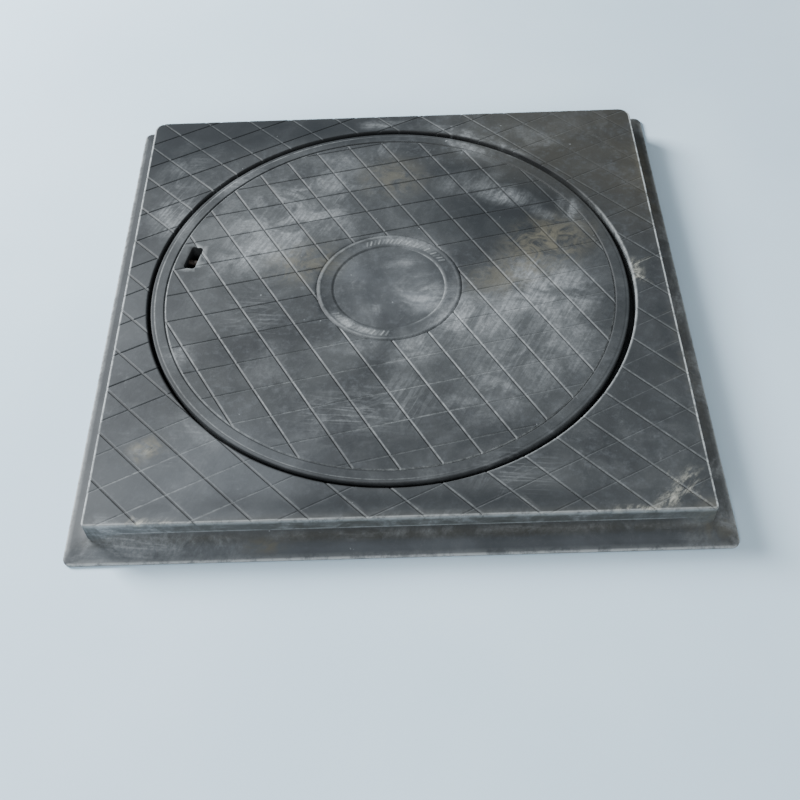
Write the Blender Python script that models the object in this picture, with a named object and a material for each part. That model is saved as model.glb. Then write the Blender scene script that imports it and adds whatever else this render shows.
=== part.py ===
"""Round manhole cover in a square frame, as the separate pieces it comes apart into.

The frame is a square moulding with a round bore. The lid is a round moulding that rests loose in the bore
on a rubber ring, and turns and lifts out. A slot near the lid's rim has a steel bar across it for a lifting
hook, and a screwed-on cup under it that keeps the dirt out.

Units are metres, +Z is up, and the origin is the middle of the frame's underside.
"""

import math

import bmesh
import bpy
from mathutils import Matrix, Vector

# ---- driving dimensions: frame ----
BASE_WIDTH = 0.850           # square base flange, edge to edge
PLATE_WIDTH = 0.790          # square top plate, edge to edge
HEIGHT = 0.048               # underside of the base to the top face
BASE_LIP = 0.004             # upright edge of the base flange
BASE_CORNER = 0.012          # corner radius of the base flange
PLATE_EDGE = 0.022           # upright edge of the top plate
PLATE_CORNER_BACK = 0.018    # corner radius of the top plate, +Y side
PLATE_CORNER_FRONT = 0.005   # corner radius of the top plate, -Y side
UNDERCUT = 0.008             # how far the skirt starts behind the plate's edge
SKIRT_TOP = 0.020            # height where the skirt starts to flare
GUSSET = 0.030               # length of the corner gussets in the undercut
BORE_DIAMETER = 0.706
BORE_OFFSET = (-0.006, 0.003)    # the bore sits a little off the plate's middle
CLEAR_DIAMETER = 0.654       # clear opening through the seat
SEAT_HEIGHT = 0.020          # top of the seat that carries the lid
EDGE_CHAMFER = 0.0015        # on the bore's and the lid's top edges
CORE_CELL = 0.058            # square hollows in the underside of the corners
CORE_WEB = 0.008             # webs between those hollows
CORE_ROOF = 0.010            # plate left above them
BORE_WALL = 0.005            # wall left between the bore and the hollows

# ---- driving dimensions: lid ----
LID_DIAMETER = 0.692
LID_SHIFT = (-0.002, -0.001)     # the loose lid lies off the bore's middle
LID_TURNED = math.radians(-14.5)     # how far the lid's grid is turned against the frame's
RIM_DEPTH = 0.024            # thickness of the rim that rests on the seat
DECK_DEPTH = 0.020           # thickness of the lid inside the rim
SPIGOT_DIAMETER = 0.644      # ring under the lid that drops into the clear opening
SPIGOT_WALL = 0.005
RIB_TIP = 0.006              # height of the ribs' lower edges above the ground
RIB_CELL = 0.076             # square hollows between the ribs
RIB_WEB = 0.008
RIM_GROOVE_RADIUS = 0.326
GROOVE_WIDTH = 0.0044        # every groove in the top faces is a V
GROOVE_DEPTH = 0.0018

# ---- driving dimensions: grid of grooves ----
GRID_PITCH = 0.051
GRID_ANGLES = (math.radians(-45.6), math.radians(26.8))     # the frame's two families of grooves
FRAME_GRID_START = (0.0025, 0.022)       # offsets of both families from the plate's middle
LID_GRID_START = (0.0005, 0.0108)        # and from the lid's middle

# ---- driving dimensions: medallion ----
MEDALLION_RADIUS = 0.106     # groove around the raised bead
BEAD_WIDTH = 0.005
BEAD_HEIGHT = 0.0008
RING_DROP = 0.0004           # the flat ring inside the bead lies this much low
DISC_RADIUS = 0.0835
DISC_STEP = 0.0014           # step down from the ring to the disc
DISC_DISH = 0.0016           # further dish towards the disc's middle

# ---- driving dimensions: lifting point ----
SLOT_LENGTH = 0.044
SLOT_WIDTH = 0.0166
SLOT_CORNER = 0.003
SLOT_RADIUS = 0.301          # slot's middle from the lid's middle
SLOT_ANGLE = math.radians(166.5)
BAR_DIAMETER = 0.008
BAR_DEPTH = 0.0115           # bar's axis below the top face
BAR_GRIP = 0.008             # how far each end goes into the lid
CUP_DEPTH = 0.016            # height of the cup under the deck
CUP_WALL = 0.0025
CUP_PLAY = 0.001             # cup's inside past the slot, on each side
FLANGE_REACH = 0.036         # flange's half length along the slot
FLANGE_INNER = 0.264         # flange's inner edge, from the lid's middle
SCREW_RADII = (0.274, 0.304)     # screws' distances from the lid's middle
SCREW_SIDE = 0.031           # screws' distance from the slot's short axis
SCREW_DIAMETER = 0.004
SCREW_BITE = 0.009           # how deep a screw goes into the deck
SCREW_HEAD_DIAMETER = 0.008
SCREW_HEAD = 0.0025

# ---- driving dimensions: gasket ----
GASKET_INNER = 0.330
GASKET_OUTER = 0.343
GASKET_BEAD = 0.006          # width of the bead that the lid rests on

GAP = 0.0003                 # clearance between touching pieces
CUTTER_MARGIN = 0.002        # how far a cutter runs past the face it cuts

TURN_STEPS = 80              # facets around the big circles
SMALL_STEPS = 12             # facets around bars, screws and holes
CORNER_STEPS = 4             # facets around a rounded corner

SMOOTH_ANGLE = math.radians(35.0)


# ---- materials ----
def material(name, color, roughness, metallic=0.0):
    """A Principled material with one colour, roughness and metallic value."""
    result = bpy.data.materials.new(name)
    result.use_nodes = True
    shader = result.node_tree.nodes["Principled BSDF"]
    shader.inputs["Base Color"].default_value = (*color, 1.0)
    shader.inputs["Roughness"].default_value = roughness
    shader.inputs["Metallic"].default_value = metallic
    result.diffuse_color = (*color, 1.0)
    return result


# ---- meshes and objects ----
def add_object(name, bm, surface=None):
    """Turn a bmesh into an object, shaded smooth except across sharp edges."""
    bmesh.ops.recalc_face_normals(bm, faces=bm.faces)
    mesh = bpy.data.meshes.new(name)
    bm.to_mesh(mesh)
    bm.free()
    mesh.shade_smooth()
    mesh.set_sharp_from_angle(angle=SMOOTH_ANGLE)
    item = bpy.data.objects.new(name, mesh)
    bpy.context.scene.collection.objects.link(item)
    if surface is not None:
        mesh.materials.append(surface)
    return item


def add_cutter(name, bm):
    """An object that only shapes another one."""
    item = add_object(name, bm)
    item.hide_render = True
    item.display_type = "WIRE"
    return item


def boolean(item, other, operation):
    """Cut or join another object with an exact Boolean modifier."""
    modifier = item.modifiers.new(other.name, "BOOLEAN")
    modifier.operation = operation
    modifier.solver = "EXACT"
    modifier.object = other


def turned(profile, steps):
    """Spin a closed profile of (radius, height) points about the Z axis."""
    bm = bmesh.new()
    verts = [bm.verts.new((radius, 0.0, height)) for radius, height in profile]
    on_axis = [abs(radius) < 1e-9 for radius, _ in profile]
    edges = []
    for index, vert in enumerate(verts):
        following = (index + 1) % len(verts)
        if not (on_axis[index] and on_axis[following]):
            edges.append(bm.edges.new((vert, verts[following])))
    bmesh.ops.spin(
        bm,
        geom=verts + edges,
        cent=(0.0, 0.0, 0.0),
        axis=(0.0, 0.0, 1.0),
        angle=math.tau,
        steps=steps,
        use_merge=True,
    )
    bmesh.ops.remove_doubles(bm, verts=bm.verts, dist=1e-6)
    return bm


def moved(bm, place):
    """Apply a placing matrix to a bmesh."""
    bmesh.ops.transform(bm, matrix=place, verts=bm.verts)
    return bm


def rounded_rectangle(half_x, half_y, radii, height):
    """Corner arcs of a rectangle, counter-clockwise from the (+X, +Y) corner."""
    points = []
    signs = ((1, 1), (-1, 1), (-1, -1), (1, -1))
    for quarter, ((side_x, side_y), radius) in enumerate(zip(signs, radii)):
        centre = Vector((side_x * (half_x - radius), side_y * (half_y - radius), height))
        for step in range(CORNER_STEPS + 1):
            angle = (quarter + step / CORNER_STEPS) * math.pi / 2
            points.append(centre + radius * Vector((math.cos(angle), math.sin(angle), 0.0)))
    return points


def lofted(outlines):
    """A closed body through outlines that all have the same number of points, from the bottom up."""
    bm = bmesh.new()
    loops = []
    for outline in outlines:
        verts = [bm.verts.new(point) for point in outline]
        loops.append([bm.edges.new((vert, verts[index - 1])) for index, vert in enumerate(verts)])
        if outline is outlines[0] or outline is outlines[-1]:
            bm.faces.new(verts)
    for lower, upper in zip(loops, loops[1:]):
        bmesh.ops.bridge_loops(bm, edges=lower + upper)
    return bm


def block(low, high):
    """A plain box between two corners."""
    bm = bmesh.new()
    low = Vector(low)
    high = Vector(high)
    place = Matrix.Translation((low + high) / 2) @ Matrix.Diagonal((*(high - low), 1.0))
    bmesh.ops.create_cube(bm, size=1.0, matrix=place)
    return bm


def rod(diameter, length):
    """A cylinder about the Z axis, centred on the origin."""
    bm = bmesh.new()
    bmesh.ops.create_cone(
        bm,
        cap_ends=True,
        segments=SMALL_STEPS,
        radius1=diameter / 2,
        radius2=diameter / 2,
        depth=length,
    )
    return bm


def combined(parts):
    """Gather several separate bodies in one bmesh."""
    whole = bmesh.new()
    for part in parts:
        scratch = bpy.data.meshes.new("scratch")
        part.to_mesh(scratch)
        part.free()
        whole.from_mesh(scratch)
        bpy.data.meshes.remove(scratch)
    return whole


# ---- the grid of V grooves ----
def v_profile():
    """Half width and rise of the V where it runs out above the top face."""
    rise = CUTTER_MARGIN
    half = GROOVE_WIDTH / 2 * (GROOVE_DEPTH + rise) / GROOVE_DEPTH
    return half, rise


def groove_bar(start, end):
    """A triangular bar that cuts one V groove between two points of the top face."""
    half, rise = v_profile()
    along = (end - start).normalized()
    side = Vector((-along.y, along.x, 0.0))
    up = Vector((0.0, 0.0, 1.0))
    bm = bmesh.new()
    corners = (start - GROOVE_DEPTH * up, start + half * side + rise * up, start - half * side + rise * up)
    face = bm.faces.new([bm.verts.new(corner) for corner in corners])
    swept = bmesh.ops.extrude_face_region(bm, geom=[face])
    tips = [part for part in swept["geom"] if isinstance(part, bmesh.types.BMVert)]
    bmesh.ops.translate(bm, verts=tips, vec=end - start)
    return bm


def groove_ring(radius, top):
    """A turned V that cuts one round groove in the top face."""
    half, rise = v_profile()
    profile = [(radius - half, top + rise), (radius, top - GROOVE_DEPTH), (radius + half, top + rise)]
    return turned(profile, TURN_STEPS)


def grid_offsets(start, reach):
    """Distances of parallel grooves from the middle, within the reach."""
    first = math.ceil((-reach - start) / GRID_PITCH)
    last = math.floor((reach - start) / GRID_PITCH)
    return [start + step * GRID_PITCH for step in range(first, last + 1)]


def across(half_span, offset, angle, middle):
    """Two ends of a groove at an offset from the middle, half_span each way."""
    along = Vector((math.cos(angle), math.sin(angle), 0.0))
    normal = Vector((-along.y, along.x, 0.0))
    foot = middle + offset * normal
    return foot - half_span * along, foot + half_span * along


# ---- places ----
def bore_place():
    return Vector((*BORE_OFFSET, 0.0))


def lid_place():
    return bore_place() + Vector((*LID_SHIFT, 0.0))


def slot_frame():
    """Matrix whose X points from the lid's middle to the slot, with its origin on the lid's axis."""
    return Matrix.Translation(lid_place()) @ Matrix.Rotation(SLOT_ANGLE, 4, "Z")


# ---- frame ----
def frame_outlines():
    """Square outlines of the frame from the base up to the plate's top face."""
    base = BASE_WIDTH / 2
    plate = PLATE_WIDTH / 2
    neck = plate - UNDERCUT
    soft = (PLATE_CORNER_BACK, PLATE_CORNER_BACK, PLATE_CORNER_FRONT, PLATE_CORNER_FRONT)
    sides = (
        (base, (BASE_CORNER,) * 4, 0.0),
        (base, (BASE_CORNER,) * 4, BASE_LIP),
        (neck, (BASE_CORNER,) * 4, SKIRT_TOP),
        (neck, (BASE_CORNER,) * 4, HEIGHT - PLATE_EDGE),
        (plate, soft, HEIGHT - PLATE_EDGE),
        (plate, soft, HEIGHT),
    )
    return [rounded_rectangle(half, half, radii, height) for half, radii, height in sides]


def gusset_block(side_x, side_y):
    """Fills the undercut around one corner."""
    outer = PLATE_WIDTH / 2 - GAP
    radius = PLATE_CORNER_BACK if side_y > 0 else PLATE_CORNER_FRONT
    half = GUSSET / 2
    middle = outer - half
    low = HEIGHT - PLATE_EDGE + CUTTER_MARGIN
    radii = [GAP] * 4
    corner = ((1, 1), (-1, 1), (-1, -1), (1, -1)).index((side_x, side_y))
    radii[corner] = radius
    outlines = [rounded_rectangle(half, half, radii, height) for height in (BASE_LIP + CUTTER_MARGIN, low)]
    return moved(lofted(outlines), Matrix.Translation((side_x * middle, side_y * middle, 0.0)))


def bore_cutter():
    """Stepped bore: clear opening below the seat, wider bore above, chamfer at the top edge."""
    clear = CLEAR_DIAMETER / 2
    bore = BORE_DIAMETER / 2
    profile = [
        (0.0, -CUTTER_MARGIN),
        (clear, -CUTTER_MARGIN),
        (clear, SEAT_HEIGHT),
        (bore, SEAT_HEIGHT),
        (bore, HEIGHT - EDGE_CHAMFER),
        (bore + EDGE_CHAMFER + CUTTER_MARGIN, HEIGHT + CUTTER_MARGIN),
        (0.0, HEIGHT + CUTTER_MARGIN),
    ]
    return moved(turned(profile, TURN_STEPS), Matrix.Translation(bore_place()))


def core_centres():
    """Middles of the hollows in the underside: those that stay clear of the bore's wall."""
    pitch = CORE_CELL + CORE_WEB
    first = PLATE_WIDTH / 2 - UNDERCUT - CORE_WEB - CORE_CELL / 2
    keep = BORE_DIAMETER / 2 + BORE_WALL
    steps = range(int(first / pitch) + 1)
    centres = []
    for side_x in (-1, 1):
        for side_y in (-1, 1):
            for step_x in steps:
                for step_y in steps:
                    centre = Vector((side_x * (first - step_x * pitch), side_y * (first - step_y * pitch), 0.0))
                    inner = centre - CORE_CELL / 2 * Vector((side_x, side_y, 0.0))
                    if (inner - bore_place()).length > keep:
                        centres.append(centre)
    return centres


def core_cutters():
    """Square hollows, a little narrower at their roof so that the moulding leaves its tool."""
    draft = 0.001
    half = CORE_CELL / 2
    cutters = []
    for centre in core_centres():
        levels = ((half, -CUTTER_MARGIN), (half - draft, HEIGHT - CORE_ROOF))
        outlines = [rounded_rectangle(size, size, (CORE_WEB / 2,) * 4, height) for size, height in levels]
        cutters.append(moved(lofted(outlines), Matrix.Translation(centre)))
    return combined(cutters)


def frame_grooves(family):
    """All grooves of one family across the plate."""
    reach = PLATE_WIDTH / math.sqrt(2)
    top = Vector((0.0, 0.0, HEIGHT))
    angle = GRID_ANGLES[family]
    bars = []
    for offset in grid_offsets(FRAME_GRID_START[family], reach):
        start, end = across(reach, offset, angle, top)
        bars.append(groove_bar(start, end))
    return combined(bars)


def build_frame(surface):
    body = add_object("frame", lofted(frame_outlines()), surface)
    corners = [(side_x, side_y) for side_x in (-1, 1) for side_y in (-1, 1)]
    gussets = add_cutter("frame_gussets", combined([gusset_block(*corner) for corner in corners]))
    boolean(body, gussets, "UNION")
    boolean(body, add_cutter("frame_bore_cut", bore_cutter()), "DIFFERENCE")
    boolean(body, add_cutter("frame_core_cut", core_cutters()), "DIFFERENCE")
    for family in range(len(GRID_ANGLES)):
        cutter = add_cutter("frame_groove_cut_" + str(family + 1), frame_grooves(family))
        boolean(body, cutter, "DIFFERENCE")
    return body


# ---- lid ----
def lid_body():
    """Turned blank of the lid with its medallion, rim groove left for later."""
    rim = LID_DIAMETER / 2
    spigot = SPIGOT_DIAMETER / 2
    bead_outer = MEDALLION_RADIUS - GROOVE_WIDTH / 4
    bead_inner = bead_outer - BEAD_WIDTH
    disc = HEIGHT - RING_DROP - DISC_STEP
    profile = [(0.0, disc - DISC_DISH)]
    dish_points = 3
    for step in range(1, dish_points + 1):
        share = step / dish_points
        profile.append((share * (DISC_RADIUS - DISC_STEP), disc - DISC_DISH * (1 - share**2)))
    profile += [
        (DISC_RADIUS, HEIGHT - RING_DROP),
        (bead_inner, HEIGHT - RING_DROP),
        (bead_inner + BEAD_WIDTH / 3, HEIGHT + BEAD_HEIGHT),
        (bead_outer - BEAD_WIDTH / 3, HEIGHT + BEAD_HEIGHT),
        (bead_outer, HEIGHT),
        (rim - EDGE_CHAMFER, HEIGHT),
        (rim, HEIGHT - EDGE_CHAMFER),
        (rim, HEIGHT - RIM_DEPTH),
        (spigot, HEIGHT - RIM_DEPTH),
        (spigot - EDGE_CHAMFER, RIB_TIP),
        (0.0, RIB_TIP),
    ]
    return moved(turned(profile, TURN_STEPS), Matrix.Translation(lid_place()))


def rib_cell_cutters():
    """Square hollows between the ribs, squared to the slot; the ones at the edge follow the spigot."""
    pitch = RIB_CELL + RIB_WEB
    inside = SPIGOT_DIAMETER / 2 - SPIGOT_WALL
    half = RIB_CELL / 2
    steps = int(inside / pitch) + 1
    cutters = []
    for row in range(-steps, steps):
        for column in range(-steps, steps + 1):
            low = Vector(((row + 0.5) * pitch - half, column * pitch - half, RIB_TIP - CUTTER_MARGIN))
            nearest = Vector((max(low.x, -low.x - RIB_CELL, 0.0), max(low.y, -low.y - RIB_CELL, 0.0)))
            if nearest.length < inside - RIB_CELL / 4:
                high = low + Vector((RIB_CELL, RIB_CELL, 0.0))
                high.z = HEIGHT - DECK_DEPTH
                cutters.append(block(low, high))
    return moved(combined(cutters), slot_frame())


def spigot_guard():
    """Cylinder that keeps the rib cells inside the spigot."""
    profile = [
        (0.0, RIB_TIP - 2 * CUTTER_MARGIN),
        (SPIGOT_DIAMETER / 2 - SPIGOT_WALL, RIB_TIP - 2 * CUTTER_MARGIN),
        (SPIGOT_DIAMETER / 2 - SPIGOT_WALL, HEIGHT - DECK_DEPTH),
        (0.0, HEIGHT - DECK_DEPTH),
    ]
    return moved(turned(profile, TURN_STEPS), Matrix.Translation(lid_place()))


def lid_grooves(family):
    """Grooves of one family, from the rim groove to the rim groove and around the medallion."""
    top = lid_place() + Vector((0.0, 0.0, HEIGHT))
    angle = GRID_ANGLES[family] + LID_TURNED
    bars = []
    for offset in grid_offsets(LID_GRID_START[family], RIM_GROOVE_RADIUS - GRID_PITCH / 4):
        outer = math.sqrt(RIM_GROOVE_RADIUS**2 - offset**2)
        start, end = across(outer, offset, angle, top)
        if abs(offset) < MEDALLION_RADIUS:
            inner = math.sqrt(MEDALLION_RADIUS**2 - offset**2)
            near, far = across(inner, offset, angle, top)
            bars.append(groove_bar(start, near))
            bars.append(groove_bar(far, end))
        else:
            bars.append(groove_bar(start, end))
    return combined(bars)


def slot_cutter():
    """The lifting slot through the deck, long side along the rim."""
    radii = (SLOT_CORNER,) * 4
    levels = (HEIGHT - DECK_DEPTH - CUTTER_MARGIN, HEIGHT + CUTTER_MARGIN)
    outlines = [rounded_rectangle(SLOT_WIDTH / 2, SLOT_LENGTH / 2, radii, height) for height in levels]
    return moved(lofted(outlines), slot_frame() @ Matrix.Translation((SLOT_RADIUS, 0.0, 0.0)))


def bar_place():
    """The bar lies across the slot, along the line to the lid's middle."""
    level = HEIGHT - BAR_DEPTH
    return slot_frame() @ Matrix.Translation((SLOT_RADIUS, 0.0, level)) @ Matrix.Rotation(math.pi / 2, 4, "Y")


def screw_places():
    """Origin of each screw at the deck's underside."""
    spots = [(radius, side * SCREW_SIDE) for radius in SCREW_RADII for side in (-1, 1)]
    return [slot_frame() @ Matrix.Translation((*spot, HEIGHT - DECK_DEPTH)) for spot in spots]


def screw_hole_cutters():
    """Blind holes in the deck for the cup's screws."""
    depth = SCREW_BITE + 2 * GAP
    low = Matrix.Translation((0.0, 0.0, depth / 2 - CUTTER_MARGIN / 2))
    holes = [moved(rod(SCREW_DIAMETER + 2 * GAP, depth + CUTTER_MARGIN), place @ low) for place in screw_places()]
    return combined(holes)


def build_lid(surface):
    body = add_object("lid", lid_body(), surface)
    cells = add_cutter("lid_cell_cut", rib_cell_cutters())
    boolean(cells, add_cutter("lid_cell_guard", spigot_guard()), "INTERSECT")
    boolean(body, cells, "DIFFERENCE")
    for family in range(len(GRID_ANGLES)):
        cutter = add_cutter("lid_groove_cut_" + str(family + 1), lid_grooves(family))
        boolean(body, cutter, "DIFFERENCE")
    place = Matrix.Translation(lid_place())
    rings = (("lid_rim_groove_cut", RIM_GROOVE_RADIUS), ("lid_medallion_cut", MEDALLION_RADIUS))
    for name, radius in rings:
        boolean(body, add_cutter(name, moved(groove_ring(radius, HEIGHT), place)), "DIFFERENCE")
    boolean(body, add_cutter("lid_slot_cut", slot_cutter()), "DIFFERENCE")
    bar_hole = rod(BAR_DIAMETER + 2 * GAP, SLOT_WIDTH + 2 * BAR_GRIP + 2 * GAP)
    boolean(body, add_cutter("lid_bar_cut", moved(bar_hole, bar_place())), "DIFFERENCE")
    boolean(body, add_cutter("lid_screw_cut", screw_hole_cutters()), "DIFFERENCE")
    return body


# ---- lifting point ----
def build_bar(surface):
    return add_object("lifting_bar", moved(rod(BAR_DIAMETER, SLOT_WIDTH + 2 * BAR_GRIP), bar_place()), surface)


def cup_shape(grow, low, high):
    """Rounded block around the slot, wider than it by grow on each side."""
    radii = (SLOT_CORNER + grow,) * 4
    half_x = SLOT_WIDTH / 2 + grow
    half_y = SLOT_LENGTH / 2 + grow
    outlines = [rounded_rectangle(half_x, half_y, radii, height) for height in (low, high)]
    return moved(lofted(outlines), slot_frame() @ Matrix.Translation((SLOT_RADIUS, 0.0, 0.0)))


def build_pocket(surface):
    """The cup: walls and floor under the slot, and a flange that the screws hold."""
    top = HEIGHT - DECK_DEPTH - GAP
    outer = CUP_PLAY + CUP_WALL
    cup = add_object("key_pocket", cup_shape(outer, top - CUP_DEPTH, top), surface)
    flange_outer = SLOT_RADIUS + SLOT_WIDTH / 2 + outer
    low = (FLANGE_INNER, -FLANGE_REACH, top - CUP_WALL)
    high = (flange_outer, FLANGE_REACH, top)
    flange = add_cutter("pocket_flange", moved(block(low, high), slot_frame()))
    boolean(cup, flange, "UNION")
    hollow = cup_shape(CUP_PLAY, top - CUP_DEPTH + CUP_WALL, top + CUTTER_MARGIN)
    boolean(cup, add_cutter("pocket_hollow", hollow), "DIFFERENCE")
    length = 4 * CUP_WALL
    holes = [moved(rod(SCREW_DIAMETER + 2 * GAP, length), place) for place in screw_places()]
    boolean(cup, add_cutter("pocket_holes", combined(holes)), "DIFFERENCE")
    return cup


def build_screws(surface):
    """Pan-head screws that point up into the deck."""
    shank = SCREW_DIAMETER / 2
    head = SCREW_HEAD_DIAMETER / 2
    seat = -2 * GAP - CUP_WALL
    profile = [
        (0.0, SCREW_BITE),
        (shank, SCREW_BITE),
        (shank, seat),
        (head, seat),
        (head, seat - SCREW_HEAD * 0.6),
        (head * 0.7, seat - SCREW_HEAD),
        (0.0, seat - SCREW_HEAD),
    ]
    for number, place in enumerate(screw_places(), start=1):
        screw = add_object("pocket_screw_" + str(number), turned(profile, SMALL_STEPS), surface)
        screw.matrix_world = place


# ---- gasket ----
def build_gasket(surface):
    """Loose rubber ring on the seat: a bead under the lid's rim with a lip on each side."""
    low = SEAT_HEIGHT + GAP
    high = HEIGHT - RIM_DEPTH - GAP
    middle = (GASKET_INNER + GASKET_OUTER) / 2
    lip = (low + high) / 2
    profile = [
        (GASKET_INNER, low),
        (GASKET_INNER, lip),
        (middle - GASKET_BEAD / 2, high),
        (middle + GASKET_BEAD / 2, high),
        (GASKET_OUTER, lip),
        (GASKET_OUTER, low),
    ]
    ring = add_object("seat_gasket", turned(profile, TURN_STEPS), surface)
    ring.location = lid_place()
    return ring


def main():
    for item in list(bpy.data.objects):
        bpy.data.objects.remove(item, do_unlink=True)
    composite = material("composite", (0.095, 0.110, 0.120), 0.62)
    lid_composite = material("lid_composite", (0.105, 0.122, 0.132), 0.60)
    rusty_steel = material("rusty_steel", (0.120, 0.075, 0.050), 0.75, 0.6)
    black_plastic = material("black_plastic", (0.020, 0.021, 0.022), 0.55)
    zinc_steel = material("zinc_steel", (0.420, 0.420, 0.400), 0.40, 1.0)
    black_rubber = material("black_rubber", (0.015, 0.015, 0.016), 0.80)
    build_frame(composite)
    build_lid(lid_composite)
    build_bar(rusty_steel)
    build_pocket(black_plastic)
    build_screws(zinc_steel)
    build_gasket(black_rubber)


main()
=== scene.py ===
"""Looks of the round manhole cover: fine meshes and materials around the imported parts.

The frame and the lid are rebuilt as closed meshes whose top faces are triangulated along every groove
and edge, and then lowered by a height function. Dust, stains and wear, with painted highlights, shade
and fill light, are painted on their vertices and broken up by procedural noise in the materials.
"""

import math

import bmesh
import bpy
from mathutils import Matrix, Vector, noise
from mathutils.geometry import delaunay_2d_cdt


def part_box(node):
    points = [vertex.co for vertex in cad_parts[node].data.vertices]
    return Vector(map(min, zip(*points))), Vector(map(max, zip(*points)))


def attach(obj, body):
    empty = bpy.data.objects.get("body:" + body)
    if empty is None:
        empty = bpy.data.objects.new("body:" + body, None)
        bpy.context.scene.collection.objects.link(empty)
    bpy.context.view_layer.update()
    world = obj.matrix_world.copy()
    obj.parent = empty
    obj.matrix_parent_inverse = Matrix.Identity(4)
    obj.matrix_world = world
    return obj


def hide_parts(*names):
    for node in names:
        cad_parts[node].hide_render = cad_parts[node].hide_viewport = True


MM = 0.001

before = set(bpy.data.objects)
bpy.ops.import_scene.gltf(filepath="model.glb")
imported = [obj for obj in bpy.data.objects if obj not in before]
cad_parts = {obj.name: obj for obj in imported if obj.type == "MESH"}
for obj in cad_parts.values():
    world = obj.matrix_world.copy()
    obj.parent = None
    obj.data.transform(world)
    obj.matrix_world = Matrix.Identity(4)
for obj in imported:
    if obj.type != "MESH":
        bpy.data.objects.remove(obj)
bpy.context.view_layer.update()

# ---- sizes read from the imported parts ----
FRAME_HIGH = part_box("frame")[1]
LID_LOW, LID_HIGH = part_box("lid")
BAR_LOW, BAR_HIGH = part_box("lifting_bar")
GASKET_LOW, GASKET_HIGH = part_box("seat_gasket")
POCKET_LOW, POCKET_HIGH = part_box("key_pocket")
BASE = FRAME_HIGH.x
TOP = FRAME_HIGH.z
LID_CENTRE = Vector(((LID_LOW.x + LID_HIGH.x) / 2, (LID_LOW.y + LID_HIGH.y) / 2, 0.0))
LID_RADIUS = (LID_HIGH.x - LID_LOW.x) / 2
RIB_TIP = LID_LOW.z
SLOT_CENTRE = Vector(((BAR_LOW.x + BAR_HIGH.x) / 2, (BAR_LOW.y + BAR_HIGH.y) / 2, 0.0))
BAR_LEVEL = (BAR_LOW.z + BAR_HIGH.z) / 2
BAR_RADIUS = (BAR_HIGH.z - BAR_LOW.z) / 2

# ---- sizes the parts share with the CAD, which their boxes don't give ----
PLATE = 395 * MM                  # half width of the top plate
PLATE_EDGE = 22 * MM
BASE_CORNER = 12 * MM
CORNER_BACK = 18 * MM
CORNER_FRONT = 5 * MM
PLATE_CORNERS = (CORNER_BACK, CORNER_FRONT)
NECK = PLATE - 8 * MM             # half width under the plate's edge
GUSSET = 30 * MM
BORE_CENTRE = Vector((-6 * MM, 3 * MM, 0.0))
BORE_RADIUS = 353 * MM
CLEAR_RADIUS = 327 * MM
SEAT = 20 * MM
CORE_CELL = 58 * MM
CORE_WEB = 8 * MM
CORE_ROOF = 10 * MM
CORE_DRAFT = 1.4 * MM             # by which a hollow's roof is narrower than its mouth
BORE_WALL = 5 * MM
RIM_DEPTH = 24 * MM
DECK_DEPTH = 20 * MM
SPIGOT_RADIUS = 322 * MM
SPIGOT_WALL = 5 * MM
RIB_CELL = 76 * MM
RIB_WEB = 8 * MM
RIM_GROOVE = 326 * MM
MEDALLION = 106 * MM
GRID_PITCH = 51 * MM
# The steep and the flat family of grooves: heading, and how far its first groove lies from the middle.
STEEP = math.radians(-45.6)
FLAT = math.radians(26.8)
FRAME_GRID = ((STEEP, 2.5 * MM), (FLAT, 22 * MM))
LID_TURNED = math.radians(-14.5)
LID_GRID = ((STEEP + LID_TURNED, 0.5 * MM), (FLAT + LID_TURNED, 10.8 * MM))
SLOT_WIDTH = 16.6 * MM
SLOT_LENGTH = 44 * MM
SLOT_CORNER = 4 * MM
SLOT_ANGLE = math.radians(166.5)
SLOT_RADIUS = (SLOT_CENTRE - LID_CENTRE).length
CUP_WALL = 2.5 * MM
CUP_PLAY = 1 * MM
FLANGE_INNER = 264 * MM
FLANGE_REACH = 36 * MM
SCREW_RADII = (274 * MM, 304 * MM)
SCREW_SIDE = 31 * MM
SCREW_RADIUS = 2 * MM
SCREW_HEAD_RADIUS = 4 * MM
SCREW_HEAD = 2.5 * MM
SCREW_BITE = 9 * MM
GASKET_INNER = 330 * MM
GASKET_OUTER = 343 * MM
GAP = 0.3 * MM

# ---- fine detail that the CAD leaves out ----
GROOVE_HALVES = (2.2 * MM, 1.7 * MM)     # steep family, flat family
GROOVE_DEPTHS = (1.3 * MM, 1.0 * MM)
RING_HALF = 2.2 * MM
RING_DEPTH = 1.5 * MM
GROOVE_LOW = -0.3                         # where the deepest line runs, in half widths
GROOVE_LINES = (-1.15, -1.0, -0.8, -0.55, -0.3, 0.0, 0.3, 0.65, 1.0, 1.2)
EDGE_ROUND = 1.6 * MM
BORE_ROUND = 2.6 * MM
LIP_ROUND = 1.0 * MM
LEDGE_WIDTH = 5 * MM              # shallow step round the lid's edge
LEDGE_SLOPE = 0.5 * MM
LEDGE_DEPTH = 0.3 * MM
LEDGE_RADIUS = LID_RADIUS - LEDGE_WIDTH
CORNER_BULGE = 10 * MM            # extra corner radius half way down the flare
ROUND_STEPS = 5
FLAT_SPACING = 8 * MM             # between points on the flat faces
SIDE_SPACING = 10 * MM            # between points along the plate's sides
PLATE_LOOPS = (3.2 * MM, 4.6 * MM)       # further lines inside the rounded edges, for smooth shading
BORE_LOOPS = (3.8 * MM, 5.4 * MM, 7.4 * MM)
RIM_LOOPS = (3 * MM, LEDGE_WIDTH - LEDGE_SLOPE, LEDGE_WIDTH, LEDGE_WIDTH + LEDGE_SLOPE, 7 * MM)
DISC_LOOPS = (12 * MM, 42 * MM, 68 * MM)
WAVE_HEIGHT = 0.35 * MM
PORE_HEIGHT = 0.05 * MM
CIRCLE_STEPS = 360
MEDALLION_STEPS = 240
DISC_STEPS = 96
CLIP_STEPS = 120
ROD_STEPS = 32
SOFT_STEPS = 4
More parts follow.
